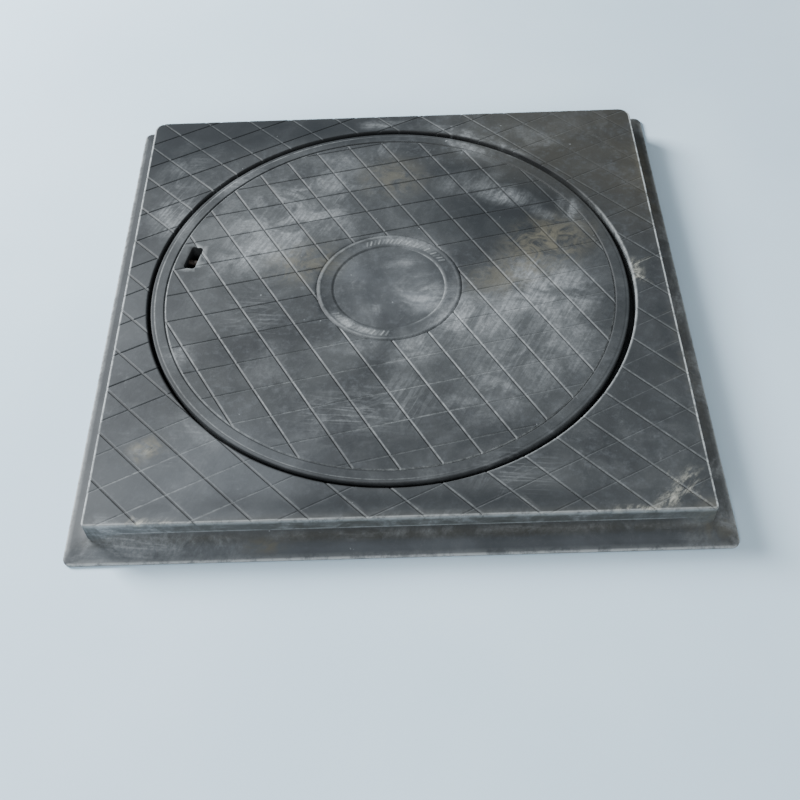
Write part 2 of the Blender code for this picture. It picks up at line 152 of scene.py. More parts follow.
BEAD_STEPS = 6
CORNER_STEPS = 8
TICK_HEIGHT = 0.42 * MM
TICK_HALF = 1.6 * MM
TICK_REACH = (87.2 * MM, 97.6 * MM)
TICK_HALF_LENGTH = (TICK_REACH[1] - TICK_REACH[0]) / 2
TICK_LEAN = math.radians(-26)
TICK_PITCH = math.radians(3.9)
TICK_ARCS = ((math.radians(30), math.radians(112)), (math.radians(212), math.radians(270)))
STEP_RADIUS = 82.8 * MM           # slope between the medallion's disc and its ring
RING_RADIUS = 92.5 * MM           # middle of the ring
BEAD_RADIUS = 102 * MM
LIT_HEADING = math.radians(22)   # the bore's lit side lies this far clockwise of +X
SPARE = 2 * MM                    # by which cutters reach past the faces that they open
WELD = 0.005 * MM
SMOOTH_ANGLE = math.radians(42)

# Middle and reach of the lines painted across a groove, in half widths; none lies beyond MARK_REACH.
# Dark lines are groove dirt and painted shade on the wall turned from the lamp; bright lines are painted
# highlights on the lit wall; the dust line is light dust in the flat grooves.
MARK_REACH = 1.15
DARK_LINE = (-0.42, 0.68)
SHADED_DARK_LINE = (-0.15, 0.85)
FLAT_DARK_LINE = (0.1, 0.9)
BRIGHT_LINE = (0.45, 0.6)
SHADED_BRIGHT_LINE = (0.75, 0.4)
FLAT_BRIGHT_LINE = (-0.6, 0.6)
DUST_LINE = (0.0, 0.9)

# Radius and height of the medallion's profile, in millimetres from the lid's middle and the top face.
MEDALLION_PROFILE = (
    (0, -3.3), (30, -3.1), (55, -2.4), (79.5, -1.7), (81.2, -1.9), (84.4, -0.5), (86.0, -0.4),
    (98.6, -0.4), (100.4, 0.1), (102.0, 0.5), (103.2, 0.45), (104.6, -0.1), (106.0, -0.9), (108.2, 0.0),
)


# ---- small maths ----
def ease(value, low, high):
    """Smooth step from 0 at low to 1 at high."""
    share = min(max((value - low) / (high - low), 0.0), 1.0)
    return share * share * (3 - 2 * share)


def bell(value, middle, reach):
    """1 at the middle, falling smoothly to 0 at the reach."""
    share = abs(value - middle) / reach
    return 0.5 * (1 + math.cos(math.pi * share)) if share < 1 else 0.0


def mix(first, second, share):
    return first + (second - first) * share


def polar(radius, angle):
    return Vector((radius * math.cos(angle), radius * math.sin(angle), 0.0))


def ripple(x, y, scale, seed):
    """Noise between about -1 and 1 with the given number of bumps per metre."""
    return noise.noise(Vector((x * scale, y * scale, seed)))


def groove(share, low=GROOVE_LOW):
    """1 at the bottom of a groove, 0 beside it; share runs from -1 to 1 across it."""
    if abs(share) >= 1:
        return 0.0
    side = 1 if share > low else -1
    return 0.5 * (1 + math.cos(math.pi * (share - low) / (side - low)))


def rounding(distance, radius):
    """How far a rounded edge has dropped at a distance inside the edge."""
    inside = radius - min(max(distance, 0.0), radius)
    return radius - math.sqrt(max(radius**2 - inside**2, 0.0))


def box_distance(x, y, half_x, half_y, radius):
    """Distance outside a rectangle with rounded corners, negative inside it."""
    dx = abs(x) - (half_x - radius)
    dy = abs(y) - (half_y - radius)
    return (math.hypot(dx, dy) if min(dx, dy) > 0 else max(dx, dy)) - radius


def round_offsets(radius):
    """Distances from an edge at which its rounding needs a line."""
    return [radius * (1 - math.cos(step / ROUND_STEPS * math.pi / 2)) for step in range(ROUND_STEPS + 1)]


def grid_shares(x, y, grid):
    """Where a point lies across the nearest groove of each family, in half widths."""
    shares = []
    for (angle, start), half in zip(grid, GROOVE_HALVES):
        offset = math.cos(angle) * y - math.sin(angle) * x - start
        shares.append((offset - round(offset / GRID_PITCH) * GRID_PITCH) / half)
    return shares


def groove_strength(x, y):
    """How open each family of grooves still is; dirt and wear fill them in places."""
    return 1 - patch_value(x, y, STEEP_FILL), 1 - patch_value(x, y, FLAT_FILL)


def grid_drop(x, y, grid, world_x, world_y):
    """Depth of the grid's grooves at a point."""
    shares = grid_shares(x, y, grid)
    if min(abs(share) for share in shares) >= 1:
        return 0.0
    strengths = groove_strength(world_x, world_y)
    return max(groove(share) * depth * fill for share, depth, fill in zip(shares, GROOVE_DEPTHS, strengths))


def grid_marks(x, y, grid, world_x, world_y):
    """Dirt and painted shade, and the painted highlight on the lit wall, of the grid's grooves at a point.
    """
    steep, flat = grid_shares(x, y, grid)
    if min(abs(steep), abs(flat)) >= MARK_REACH:
        return 0.0, 0.0
    steep_open, flat_open = groove_strength(world_x, world_y)
    shaded = patch_value(world_x, world_y, SHADED_GROOVES)
    dusty_and_lit = patch_value(world_x, world_y, DUSTY_GROOVES)
    dirt = steep_open * max(bell(steep, *DARK_LINE), shaded * bell(steep, *SHADED_DARK_LINE))
    dirt = max(dirt, 0.5 * flat_open * (1 - dusty_and_lit) * bell(flat, *FLAT_DARK_LINE))
    shine = mix(0.38, 1.0, patch_value(world_x, world_y, BRIGHT_WALLS))
    shine *= steep_open * mix(bell(steep, *BRIGHT_LINE), bell(steep, *SHADED_BRIGHT_LINE), shaded)
    shine = max(shine, 0.2 * bell(flat, *FLAT_BRIGHT_LINE), dusty_and_lit * bell(flat, *DUST_LINE))
    return dirt, shine


# ---- flat outlines and triangulation ----
def circle(radius, steps=CIRCLE_STEPS, centre=Vector((0.0, 0.0, 0.0))):
    return [centre + polar(radius, step / steps * math.tau) for step in range(steps)]


def rounded_corners(half_x, half_y, radius_at, steps):
    """Outline of a rectangle; radius_at gives the corner radius on the sides +1 and -1 of the Y axis."""
    points = []
    for quarter, (side_x, side_y) in enumerate(((1, 1), (-1, 1), (-1, -1), (1, -1))):
        radius = radius_at(side_y)
        centre = Vector((side_x * (half_x - radius), side_y * (half_y - radius), 0.0))
        turns = [quarter + step / steps for step in range(steps + 1)]
        points += [centre + polar(radius, turn * math.pi / 2) for turn in turns]
    return points


def corner_radius(side_y, inset):
    """Radius of the plate's corners, larger at the back."""
    radius = PLATE_CORNERS[0] if side_y > 0 else PLATE_CORNERS[1]
    return max(radius - inset, 0.4 * MM)


def plate_outline(inset):
    """Outline of the plate, drawn in by the inset, with points along its sides."""
    half = PLATE - inset
    points = rounded_corners(half, half, lambda side_y: corner_radius(side_y, inset), CORNER_STEPS)
    dense = []
    for index, point in enumerate(points):
        following = points[(index + 1) % len(points)]
        pieces = max(1, round((following - point).length / SIDE_SPACING))
        dense += [point.lerp(following, piece / pieces) for piece in range(pieces)]
    return dense


def rounded_box(half_x, half_y, radius, steps=6):
    """Outline of a rectangle with equal rounded corners."""
    return rounded_corners(half_x, half_y, lambda side_y: radius, steps)


class Sheet:
    """Points, lines and loops that are triangulated together and then given heights."""

    def __init__(self):
        self.points = []
        self.lines = []

    def point(self, place):
        self.points.append(Vector((place[0], place[1])))
        return len(self.points) - 1

    def line(self, start, end):
        self.lines.append((self.point(start), self.point(end)))

    def loop(self, outline):
        ids = [self.point(place) for place in outline]
        self.lines += [(ids[index - 1], ids[index]) for index in range(len(ids))]

    def scatter(self, reach, keep):
        """Evenly spaced points over the flat areas."""
        steps = int(reach / FLAT_SPACING)
        for row in range(-steps, steps + 1):
            for column in range(-steps, steps + 1):
                place = (row * FLAT_SPACING, column * FLAT_SPACING)
                if keep(*place):
                    self.point(place)

    def mesh(self, inside, height):
        """A bmesh of the triangles whose middles are inside."""
        places, _, triangles, *_ = delaunay_2d_cdt(self.points, self.lines, [], 0, 1e-6)
        bm = bmesh.new()
        verts = {}
        for triangle in triangles:
            middle = sum((places[index] for index in triangle), Vector((0.0, 0.0))) / len(triangle)
            if inside(*middle):
                for index in triangle:
                    if index not in verts:
                        x, y = places[index]
                        verts[index] = bm.verts.new((x, y, height(x, y)))
                bm.faces.new([verts[index] for index in triangle])
        return bm


def grid_lines(sheet, grid, reach, clip):
    """Adds the lines along every groove of a grid; clip gives the stretches to keep."""
    for (angle, start), half in zip(grid, GROOVE_HALVES):
        along = polar(1.0, angle)
        normal = polar(1.0, angle + math.pi / 2)
        first = math.ceil((-reach - start) / GRID_PITCH)
        last = math.floor((reach - start) / GRID_PITCH)
        for step in range(first, last + 1):
            for share in GROOVE_LINES:
                offset = start + step * GRID_PITCH + share * half
                for low, high in clip(offset):
                    sheet.line(offset * normal + low * along, offset * normal + high * along)


def drop_edges(bm, edges, levels):
    """Extrudes a boundary through levels; each level maps a boundary point to its new place."""
    anchors = {vert: vert.co.copy() for edge in edges for vert in edge.verts}
    for level in levels:
        swept = bmesh.ops.extrude_edge_only(bm, edges=edges)
        fresh = [part for part in swept["geom"] if isinstance(part, bmesh.types.BMVert)]
        edges = [part for part in swept["geom"] if isinstance(part, bmesh.types.BMEdge)]
        edges = [edge for edge in edges if edge.is_boundary]
        moved = {}
        for vert in fresh:
            others = [edge.other_vert(vert) for edge in vert.link_edges]
            moved[vert] = next(anchors[other] for other in others if other in anchors)
        for vert, anchor in moved.items():
            vert.co = level(anchor)
        anchors = moved
    return edges


def boundary(bm, test):
    """Boundary edges whose both ends pass the test."""
    return [edge for edge in bm.edges if edge.is_boundary and all(test(vert.co) for vert in edge.verts)]


# ---- solids ----
def lofted(outlines):
    """A closed body through outlines with equal numbers of points."""
    bm = bmesh.new()
    loops = []
    for outline in outlines:
        verts = [bm.verts.new(point) for point in outline]
        loops.append([bm.edges.new((vert, verts[index - 1])) for index, vert in enumerate(verts)])
        if outline is outlines[0] or outline is outlines[-1]:
            bm.faces.new(verts)
    for lower, upper in zip(loops, loops[1:]):
        bmesh.ops.bridge_loops(bm, edges=lower + upper)
    return bm


def at_level(outline, level):
    return [Vector((point.x, point.y, level)) for point in outline]


def prism(outline, low, high):
    return lofted([at_level(outline, low), at_level(outline, high)])


def turned(profile, steps):
    """A closed profile of (radius, height) points spun about the Z axis."""
    bm = bmesh.new()
    verts = [bm.verts.new((radius, 0.0, height)) for radius, height in profile]
    edges = []
    for index, vert in enumerate(verts):
        following = (index + 1) % len(verts)
        if profile[index][0] > 0 or profile[following][0] > 0:
            edges.append(bm.edges.new((vert, verts[following])))
    around = {"cent": (0.0, 0.0, 0.0), "axis": (0.0, 0.0, 1.0), "angle": math.tau}
    bmesh.ops.spin(bm, geom=verts + edges, steps=steps, use_merge=True, **around)
    bmesh.ops.remove_doubles(bm, verts=bm.verts, dist=1e-6)
    return bm


def placed(bm, matrix):
    bmesh.ops.transform(bm, matrix=matrix, verts=bm.verts)
    return bm


def combined(parts):
    """Several separate bodies in one bmesh."""
    whole = bmesh.new()
    for part in parts:
        scratch = bpy.data.meshes.new("scratch")
        part.to_mesh(scratch)
        part.free()
        whole.from_mesh(scratch)
        bpy.data.meshes.remove(scratch)
    return whole


def add_object(name, bm):
    bmesh.ops.recalc_face_normals(bm, faces=bm.faces)
    mesh = bpy.data.meshes.new(name)
    bm.to_mesh(mesh)
    bm.free()
    item = bpy.data.objects.new(name, mesh)
    bpy.context.scene.collection.objects.link(item)
    return item


def carve(item, cutters, additions=()):
    """Joins the additions to the object, cuts the cutters out of it and shades it smooth."""
    tools = []
    for operation, bodies in (("UNION", additions), ("DIFFERENCE", cutters)):
        for body in bodies:
            tool = add_object(item.name + "_tool", body)
            modifier = item.modifiers.new(tool.name, "BOOLEAN")
            modifier.operation = operation
            modifier.solver = "EXACT"
            modifier.object = tool
            tools.append(tool)
    bpy.context.view_layer.update()
    result = bpy.data.meshes.new_from_object(item.evaluated_get(bpy.context.evaluated_depsgraph_get()))
    item.modifiers.clear()
    item.data = result
    for tool in tools:
        bpy.data.objects.remove(tool, do_unlink=True)
    bm = bmesh.new()
    bm.from_mesh(result)
    bmesh.ops.remove_doubles(bm, verts=bm.verts, dist=WELD)
    bm.to_mesh(result)
    bm.free()
    result.shade_smooth()
    result.set_sharp_from_angle(angle=SMOOTH_ANGLE)
    return item


def softened(width, level, soft, bevel):
    """Width and level of the three rings that soften an edge between a wall and the face at the level."""
    return [(width, level + soft), (width - bevel, level + bevel), (width - soft, level)]


def round_levels(rings, centre=Vector((0.0, 0.0, 0.0))):
    """Levels of a round wall, for drop_edges, from the radius and level of its rings."""

    def level_at(radius, level):
        def place(anchor):
            out = Vector((anchor.x - centre.x, anchor.y - centre.y, 0.0)).normalized()
            return centre + radius * out + Vector((0.0, 0.0, level))

        return place

    return [level_at(*ring) for ring in rings]


# ---- frame ----
def plate_inset(x, y):
    """Distance from the plate's edge, positive inside."""
    return -box_distance(x, y, PLATE, PLATE, corner_radius(y, 0.0))


def bore_distance(x, y):
    """Distance outside the bore's wall."""
    return math.hypot(x - BORE_CENTRE.x, y - BORE_CENTRE.y) - BORE_RADIUS


def worn_round(x, y):
    """Rounding radius of the plate's edge, uneven where it has been knocked."""
    knocks = abs(ripple(x, y, 30, 1.0)) + max(0.0, ripple(x, y, 95, 4.0))
    return EDGE_ROUND * (0.8 + 0.35 * knocks)


def waves(x, y, seed):
    """Shallow unevenness of a moulded face, never above the nominal face."""
    broad = 0.5 * (ripple(x, y, 9, seed) - 1) * WAVE_HEIGHT
    fine = 0.5 * (ripple(x, y, 70, seed + 5) - 1) * PORE_HEIGHT
    return broad + fine


def frame_height(x, y):
    drop = grid_drop(x, y, FRAME_GRID, x, y)
    drop += rounding(plate_inset(x, y), worn_round(x, y))
    drop += rounding(bore_distance(x, y), BORE_ROUND)
    return TOP + waves(x, y, 11.0) - drop


def frame_sheet():
    sheet = Sheet()
    for inset in [*round_offsets(1.5 * EDGE_ROUND), *PLATE_LOOPS]:
        sheet.loop(plate_outline(inset))
    for offset in [*round_offsets(BORE_ROUND), *BORE_LOOPS]:
        sheet.loop(circle(BORE_RADIUS + offset, centre=BORE_CENTRE))
    reach = 2 * PLATE
    grid_lines(sheet, FRAME_GRID, PLATE * math.sqrt(2), lambda offset: [(-reach, reach)])

    def on_plate(x, y):
        return plate_inset(x, y) > 0 and bore_distance(x, y) > 0

    sheet.scatter(PLATE - FLAT_SPACING / 2, on_plate)
    return sheet.mesh(on_plate, frame_height)


def onto_square(point, half, radii):
    """The point of another rounded square that matches a point of the plate's outline."""
    old = corner_radius(point.y, 0.0)
    new = radii[0] if point.y > 0 else radii[1]
    side_x = math.copysign(1.0, point.x)
    side_y = math.copysign(1.0, point.y)
    dx = abs(point.x) - (PLATE - old)
    dy = abs(point.y) - (PLATE - old)
    if dx > 0 and dy > 0:
        arm = math.hypot(dx, dy)
        return side_x * (half - new + dx / arm * new), side_y * (half - new + dy / arm * new)
    scale = (half - new) / (PLATE - old)
    if dx > dy:
        return side_x * half, point.y * scale
    return point.x * scale, side_y * half


def side_level(half, level, gusset=False, radii=PLATE_CORNERS):
    """A level of the frame's outer side; gussets fill the undercut near the corners."""

    def place(anchor):
        width = half
        if gusset:
            along = min(abs(anchor.x), abs(anchor.y))
            corner = ease(along, PLATE - GUSSET - 8 * MM, PLATE - GUSSET + 6 * MM)
            width = max(half, mix(half, PLATE - 0.1 * MM, corner))
        x, y = onto_square(anchor, width, radii)
        return Vector((x, y, level))

    return place


def frame_sides():
    """Levels of the plate's edge, the undercut, the flaring skirt and the base flange."""
    under = TOP - PLATE_EDGE
    rings = [(PLATE, TOP - 0.35 * PLATE_EDGE), (PLATE, under + 4 * MM)]
    rings += softened(PLATE, under, 1.2 * MM, 0.35 * MM)
    rings += [(NECK + 0.8 * MM, under), (NECK, under - 0.8 * MM)]
    rings += [(NECK, SEAT + 1.5 * MM), (NECK + 1 * MM, SEAT - 1.2 * MM)]
    levels = [side_level(*ring, gusset=True) for ring in rings]
    flare_start = 4.0 * MM
    flare_low = 4.6 * MM
    flare_high = SEAT - 3.2 * MM
    flare_steps = 6
    for step in range(flare_steps + 1):
        share = step / flare_steps
        half = mix(NECK + flare_start, BASE - 3.0 * MM, share)
        level = mix(flare_high, flare_low, share**0.86)
        blend = ease(share, 0.0, 0.5)
        bulge = CORNER_BULGE * math.sin(math.pi * share)
        radii = [mix(corner, BASE_CORNER, blend) + bulge for corner in PLATE_CORNERS]
        levels.append(side_level(half, level, gusset=share < 0.3, radii=radii))
    rings = [(BASE - 1 * MM, 4.1 * MM), (BASE - 0.2 * MM, 3.3 * MM), (BASE, 2.4 * MM)]
    rings += [(BASE, 0.8 * MM), (BASE - 0.8 * MM, 0.0)]
    return levels + [side_level(*ring, radii=(BASE_CORNER, BASE_CORNER)) for ring in rings]


def core_cutters():
    """Square hollows in the corners of the underside."""
    pitch = CORE_CELL + CORE_WEB
    first = NECK - CORE_WEB - CORE_CELL / 2
    outline = rounded_box(CORE_CELL / 2, CORE_CELL / 2, CORE_WEB / 2)
    roof = [point * (1 - CORE_DRAFT / CORE_CELL) for point in outline]
    steps = [first - step * pitch for step in range(int(first / pitch) + 1)]
    places = [side * step for side in (-1, 1) for step in steps]
    cutters = []
    for x in places:
        for y in places:
            centre = Vector((x, y, 0.0))
            inward = Vector((math.copysign(1.0, x), math.copysign(1.0, y), 0.0))
            inner = centre - CORE_CELL / 2 * inward
            if (inner - BORE_CENTRE).length > BORE_RADIUS + BORE_WALL:
                shape = lofted([at_level(outline, -SPARE), at_level(roof, TOP - CORE_ROOF)])
                cutters.append(placed(shape, Matrix.Translation(centre)))
    return combined(cutters)


def build_frame():
    bm = frame_sheet()

    def far(place):
        return bore_distance(place.x, place.y) > 1 * MM

    outer = drop_edges(bm, boundary(bm, far), frame_sides())
    inner = boundary(bm, lambda place: not far(place) and place.z > TOP / 2)
    rings = softened(BORE_RADIUS, SEAT, 1 * MM, 0.3 * MM)
    rings += [(CLEAR_RADIUS + 1 * MM, SEAT), (CLEAR_RADIUS + 0.3 * MM, SEAT - 0.3 * MM)]
    rings += [(CLEAR_RADIUS, SEAT - 1 * MM), (CLEAR_RADIUS, 0.0)]
    inner = drop_edges(bm, inner, round_levels(rings, BORE_CENTRE))
    bmesh.ops.triangle_fill(bm, edges=outer + inner, use_beauty=True, normal=(0.0, 0.0, -1.0))
    return carve(add_object("frame_body", bm), [core_cutters()])


# ---- lid ----
def slot_matrix():
    """X runs from the lid's middle to the slot."""
    return Matrix.Translation(LID_CENTRE) @ Matrix.Rotation(SLOT_ANGLE, 4, "Z")


def lid_local(place):
    return place.x - LID_CENTRE.x, place.y - LID_CENTRE.y


def slot_distance(x, y):
    """Distance from the lifting slot's outline, negative inside it; x and y from the lid's middle."""
    across = x * math.cos(SLOT_ANGLE) + y * math.sin(SLOT_ANGLE) - SLOT_RADIUS
    along = y * math.cos(SLOT_ANGLE) - x * math.sin(SLOT_ANGLE)
    return box_distance(across, along, SLOT_WIDTH / 2, SLOT_LENGTH / 2, SLOT_CORNER)


def medallion_height(radius):
    for (near, near_height), (far, far_height) in zip(MEDALLION_PROFILE, MEDALLION_PROFILE[1:]):
        if radius <= far * MM:
            return mix(near_height, far_height, ease(radius, near * MM, far * MM)) * MM
    return 0.0


def tick_angles():
    """Directions in which the ticks stand round the medallion's ring."""
    angles = []
    for low, high in TICK_ARCS:
        count = int((high - low) / TICK_PITCH)
        angles += [low + (step + 0.5) * (high - low) / count for step in range(count)]
    return angles


TICK_ANGLES = tick_angles()
TICK_MIDDLE = sum(TICK_REACH) / 2


def tick_offset(x, y, angle):
    """Distances from a tick's long axis and along it, for a point given from the lid's middle."""
    origin = polar(TICK_MIDDLE, angle)
    along = polar(1.0, angle + TICK_LEAN)
    dx = x - origin.x
    dy = y - origin.y
    return along.x * dy - along.y * dx, along.x * dx + along.y * dy


def tick_height(x, y):
    """Raised ticks, worn lower here and there."""
    radius = math.hypot(x, y)
    if not TICK_REACH[0] - 2 * MM < radius < TICK_REACH[1] + 2 * MM:
        return 0.0
    height = 0.0
    for index, angle in enumerate(TICK_ANGLES):
        side, along = tick_offset(x, y, angle)
        if abs(side) < 2 * TICK_HALF and abs(along) < TICK_HALF_LENGTH + 1 * MM:
            rise = 1 - ease(abs(side), 0.25 * TICK_HALF, TICK_HALF)
            rise *= 1 - ease(abs(along), TICK_HALF_LENGTH - 0.8 * MM, TICK_HALF_LENGTH)
            height = max(height, rise * TICK_HEIGHT * (0.75 + 0.25 * math.sin(2.7 * index)))
    return height


def lid_field(radius):
    """1 where the lid's grid runs, 0 on the medallion and on the plain rim."""
    if radius < MEDALLION:
        return 0.0
    return 1 - ease(radius, RIM_GROOVE - 0.5 * MM, RIM_GROOVE + 1 * MM)


def lid_drop(x, y):
    """Depth of the lid's grooves; x and y from the lid's middle."""
    radius = math.hypot(x, y)
    ring = groove((radius - RIM_GROOVE) / RING_HALF, 0.0) * RING_DEPTH
    field = lid_field(radius)
    if field == 0:
        return ring
    return max(ring, field * grid_drop(x, y, LID_GRID, x + LID_CENTRE.x, y + LID_CENTRE.y))


def lid_height(x, y):
    radius = math.hypot(x, y)
    drop = lid_drop(x, y) - medallion_height(radius) - tick_height(x, y)
    drop += rounding(LID_RADIUS - radius, EDGE_ROUND)
    drop += rounding(slot_distance(x, y), LIP_ROUND)
    drop += LEDGE_DEPTH * ease(radius, LEDGE_RADIUS - LEDGE_SLOPE, LEDGE_RADIUS + LEDGE_SLOPE)
    flat = 1 - ease(radius, LID_RADIUS - 6 * MM, LID_RADIUS - EDGE_ROUND)
    return TOP + waves(x, y, 23.0) * flat - drop


def lid_sheet():
    sheet = Sheet()
    for offset in [*round_offsets(EDGE_ROUND), *RIM_LOOPS]:
        sheet.loop(circle(LID_RADIUS - offset))
    for share in GROOVE_LINES:
        sheet.loop(circle(RIM_GROOVE + share * RING_HALF))
    for radius, _ in MEDALLION_PROFILE[1:]:
        sheet.loop(circle(radius * MM, MEDALLION_STEPS))
    for near, far in zip(MEDALLION_PROFILE[3:], MEDALLION_PROFILE[4:]):
        if near[1] != far[1]:
            sheet.loop(circle((near[0] + far[0]) / 2 * MM, MEDALLION_STEPS))
    for radius in DISC_LOOPS:
        sheet.loop(circle(radius, DISC_STEPS))

    def stretches(offset):
        if abs(offset) > RIM_GROOVE - 3 * MM:
            return []
        outer = math.sqrt(RIM_GROOVE**2 - offset**2)
        if abs(offset) > MEDALLION:
            return [(-outer, outer)]
        inner = math.sqrt(MEDALLION**2 - offset**2)
        return [(-outer, -inner), (inner, outer)]

    grid_lines(sheet, LID_GRID, RIM_GROOVE, stretches)
    for angle in TICK_ANGLES:
        turn = Matrix.Translation(polar(TICK_MIDDLE, angle)) @ Matrix.Rotation(angle + TICK_LEAN, 4, "Z")
        for grow in (0.0, -0.55 * TICK_HALF):
            outline = rounded_box(TICK_HALF_LENGTH + grow, TICK_HALF + grow, 0.4 * (TICK_HALF + grow), 2)
            sheet.loop([turn @ point for point in outline])
    to_slot = Matrix.Rotation(SLOT_ANGLE, 4, "Z") @ Matrix.Translation((SLOT_RADIUS, 0.0, 0.0))
    for grow in round_offsets(LIP_ROUND):
        outline = rounded_box(SLOT_WIDTH / 2 + grow, SLOT_LENGTH / 2 + grow, SLOT_CORNER + grow)
        sheet.loop([to_slot @ point for point in outline])

    def on_flat(x, y):
        radius = math.hypot(x, y)
        on_grid = MEDALLION + 4 * MM < radius < LID_RADIUS - 8 * MM
        return on_grid and slot_distance(x, y) > 2 * MM

    sheet.scatter(LID_RADIUS, on_flat)
    return sheet.mesh(lambda x, y: math.hypot(x, y) < LID_RADIUS, lid_height)


def clipped(outline, radius):
    """A convex outline cut off at a circle round the origin."""
    for step in range(CLIP_STEPS):
        normal = polar(1.0, step / CLIP_STEPS * math.tau)
        kept = []
        for index, point in enumerate(outline):
            before = outline[index - 1]
            gap_before = radius - before.dot(normal)
            gap = radius - point.dot(normal)
            if gap_before * gap < 0:
                kept.append(before.lerp(point, gap_before / (gap_before - gap)))
            if gap >= 0:
                kept.append(point)
        outline = kept
    return outline


def rib_cell_cutters():
    """Hollows between the ribs, squared to the slot and cut off at the spigot's wall."""
    pitch = RIB_CELL + RIB_WEB
    inside = SPIGOT_RADIUS - SPIGOT_WALL
    steps = int(inside / pitch) + 1
    cutters = []
    for row in range(-steps, steps):
        for column in range(-steps, steps + 1):
            centre = Vector(((row + 0.5) * pitch, column * pitch, 0.0))
            near_x = max(abs(centre.x) - RIB_CELL / 2, 0.0)
            near_y = max(abs(centre.y) - RIB_CELL / 2, 0.0)
            if math.hypot(near_x, near_y) < inside - RIB_CELL / 4:
                cell = [centre + point for point in rounded_box(RIB_CELL / 2, RIB_CELL / 2, RIB_WEB / 2, 3)]
                cutters.append(prism(clipped(cell, inside), RIB_TIP - SPARE, TOP - DECK_DEPTH))
    return placed(combined(cutters), slot_matrix())


def screw_places():
    spots = [(radius, side * SCREW_SIDE) for radius in SCREW_RADII for side in (-1, 1)]
    return [slot_matrix() @ Matrix.Translation((*spot, TOP - DECK_DEPTH)) for spot in spots]


def bar_matrix():
    turn = Matrix.Rotation(math.pi / 2, 4, "Y")
    return slot_matrix() @ Matrix.Translation((SLOT_RADIUS, 0.0, BAR_LEVEL)) @ turn


def bar_half_length():
    span = BAR_HIGH.x - BAR_LOW.x
    return (span - 2 * BAR_RADIUS * math.sin(math.pi - SLOT_ANGLE)) / (2 * abs(math.cos(SLOT_ANGLE)))


def rod(radius, low, high):
    return turned([(0.0, high), (radius, high), (radius, low), (0.0, low)], ROD_STEPS)


def build_lid():
    bm = lid_sheet()
    rim = boundary(bm, lambda place: math.hypot(place.x, place.y) > LID_RADIUS - 1 * MM)
    seat = TOP - RIM_DEPTH
    rings = softened(LID_RADIUS, seat, 1.2 * MM, 0.35 * MM)
    rings += [(SPIGOT_RADIUS, seat), (SPIGOT_RADIUS - 1.2 * MM, RIB_TIP + 1.2 * MM)]
    rings.append((SPIGOT_RADIUS - 2.4 * MM, RIB_TIP))
    rim = drop_edges(bm, rim, round_levels(rings))
    bmesh.ops.triangle_fill(bm, edges=rim, use_beauty=True, normal=(0.0, 0.0, -1.0))
    placed(bm, Matrix.Translation(LID_CENTRE))
    slot = rounded_box(SLOT_WIDTH / 2 + 0.05 * MM, SLOT_LENGTH / 2 + 0.05 * MM, SLOT_CORNER)
    slot_cut = prism(slot, TOP - DECK_DEPTH - SPARE, TOP + SPARE)
    slot_cut = placed(slot_cut, slot_matrix() @ Matrix.Translation((SLOT_RADIUS, 0.0, 0.0)))
    bar_end = bar_half_length() + GAP
    bar_cut = placed(rod(BAR_RADIUS + GAP, -bar_end, bar_end), bar_matrix())
    holes = [placed(rod(SCREW_RADIUS + GAP, -SPARE, SCREW_BITE + GAP), place) for place in screw_places()]
    return carve(add_object("lid_body", bm), [rib_cell_cutters(), slot_cut, bar_cut, combined(holes)])


# ---- lifting point and gasket ----
def build_bar():
    """Round bar with softened ends and a pitted skin."""
    end = bar_half_length()
    soft = 0.8 * MM
    rings = [(0.0, end), (BAR_RADIUS - soft, end), (BAR_RADIUS, end - soft)]
    steps = 30
    rings += [(BAR_RADIUS, mix(end - soft, soft - end, step / steps)) for step in range(1, steps)]
    rings += [(BAR_RADIUS, soft - end), (BAR_RADIUS - soft, -end), (0.0, -end)]
    bm = turned(rings, 40)
    for vert in bm.verts:
        out = Vector((vert.co.x, vert.co.y, 0.0))
        if out.length > BAR_RADIUS / 2:
            pit = max(0.0, noise.noise(vert.co * 420)) + 0.5 * max(0.0, noise.noise(vert.co * 1100))
            vert.co -= out.normalized() * 0.35 * MM * pit
    item = add_object("steel_bar", placed(bm, bar_matrix()))
    item.data.shade_smooth()
    return item


def build_pocket():
    """Cup with rounded floor edges and a flat flange."""
    top = POCKET_HIGH.z
    floor = POCKET_LOW.z
    half_x = SLOT_WIDTH / 2 + CUP_PLAY
    half_y = SLOT_LENGTH / 2 + CUP_PLAY

    def shell(grow, low, high, soft):
        full = rounded_box(half_x + grow, half_y + grow, SLOT_CORNER + grow)
        outlines = [at_level(full, high)]
        for step in range(SOFT_STEPS + 1):
            angle = step / SOFT_STEPS * math.pi / 2
            inset = soft * (1 - math.cos(angle))
            level = low + soft * (1 - math.sin(angle))
            ring = rounded_box(half_x + grow - inset, half_y + grow - inset, SLOT_CORNER + grow - inset)
            outlines.append(at_level(ring, level))
        return lofted(outlines[::-1])

    # The flange stands a little above the cup's wall and stops a little short of it: no shared planes.
    local = Matrix.Translation((SLOT_RADIUS, 0.0, 0.0))
    body = placed(shell(CUP_WALL, floor, top - 0.4 * MM, 2.4 * MM), local)
    outer = SLOT_RADIUS + half_x + CUP_WALL - 0.3 * MM
    plate = rounded_box((outer - FLANGE_INNER) / 2, FLANGE_REACH, 3 * MM)
    plate_place = Matrix.Translation(((outer + FLANGE_INNER) / 2, 0.0, 0.0))
    flange = placed(prism(plate, top - CUP_WALL, top), plate_place)
    hollow = placed(shell(0.0, floor + CUP_WALL, top + SPARE, 1.8 * MM), local)
    holes = [placed(rod(SCREW_RADIUS + GAP, -5 * MM, 5 * MM), place) for place in screw_places()]
    body, flange, hollow = [placed(part, slot_matrix()) for part in (body, flange, hollow)]
    return carve(add_object("pocket_cup", body), [hollow, combined(holes)], [flange])


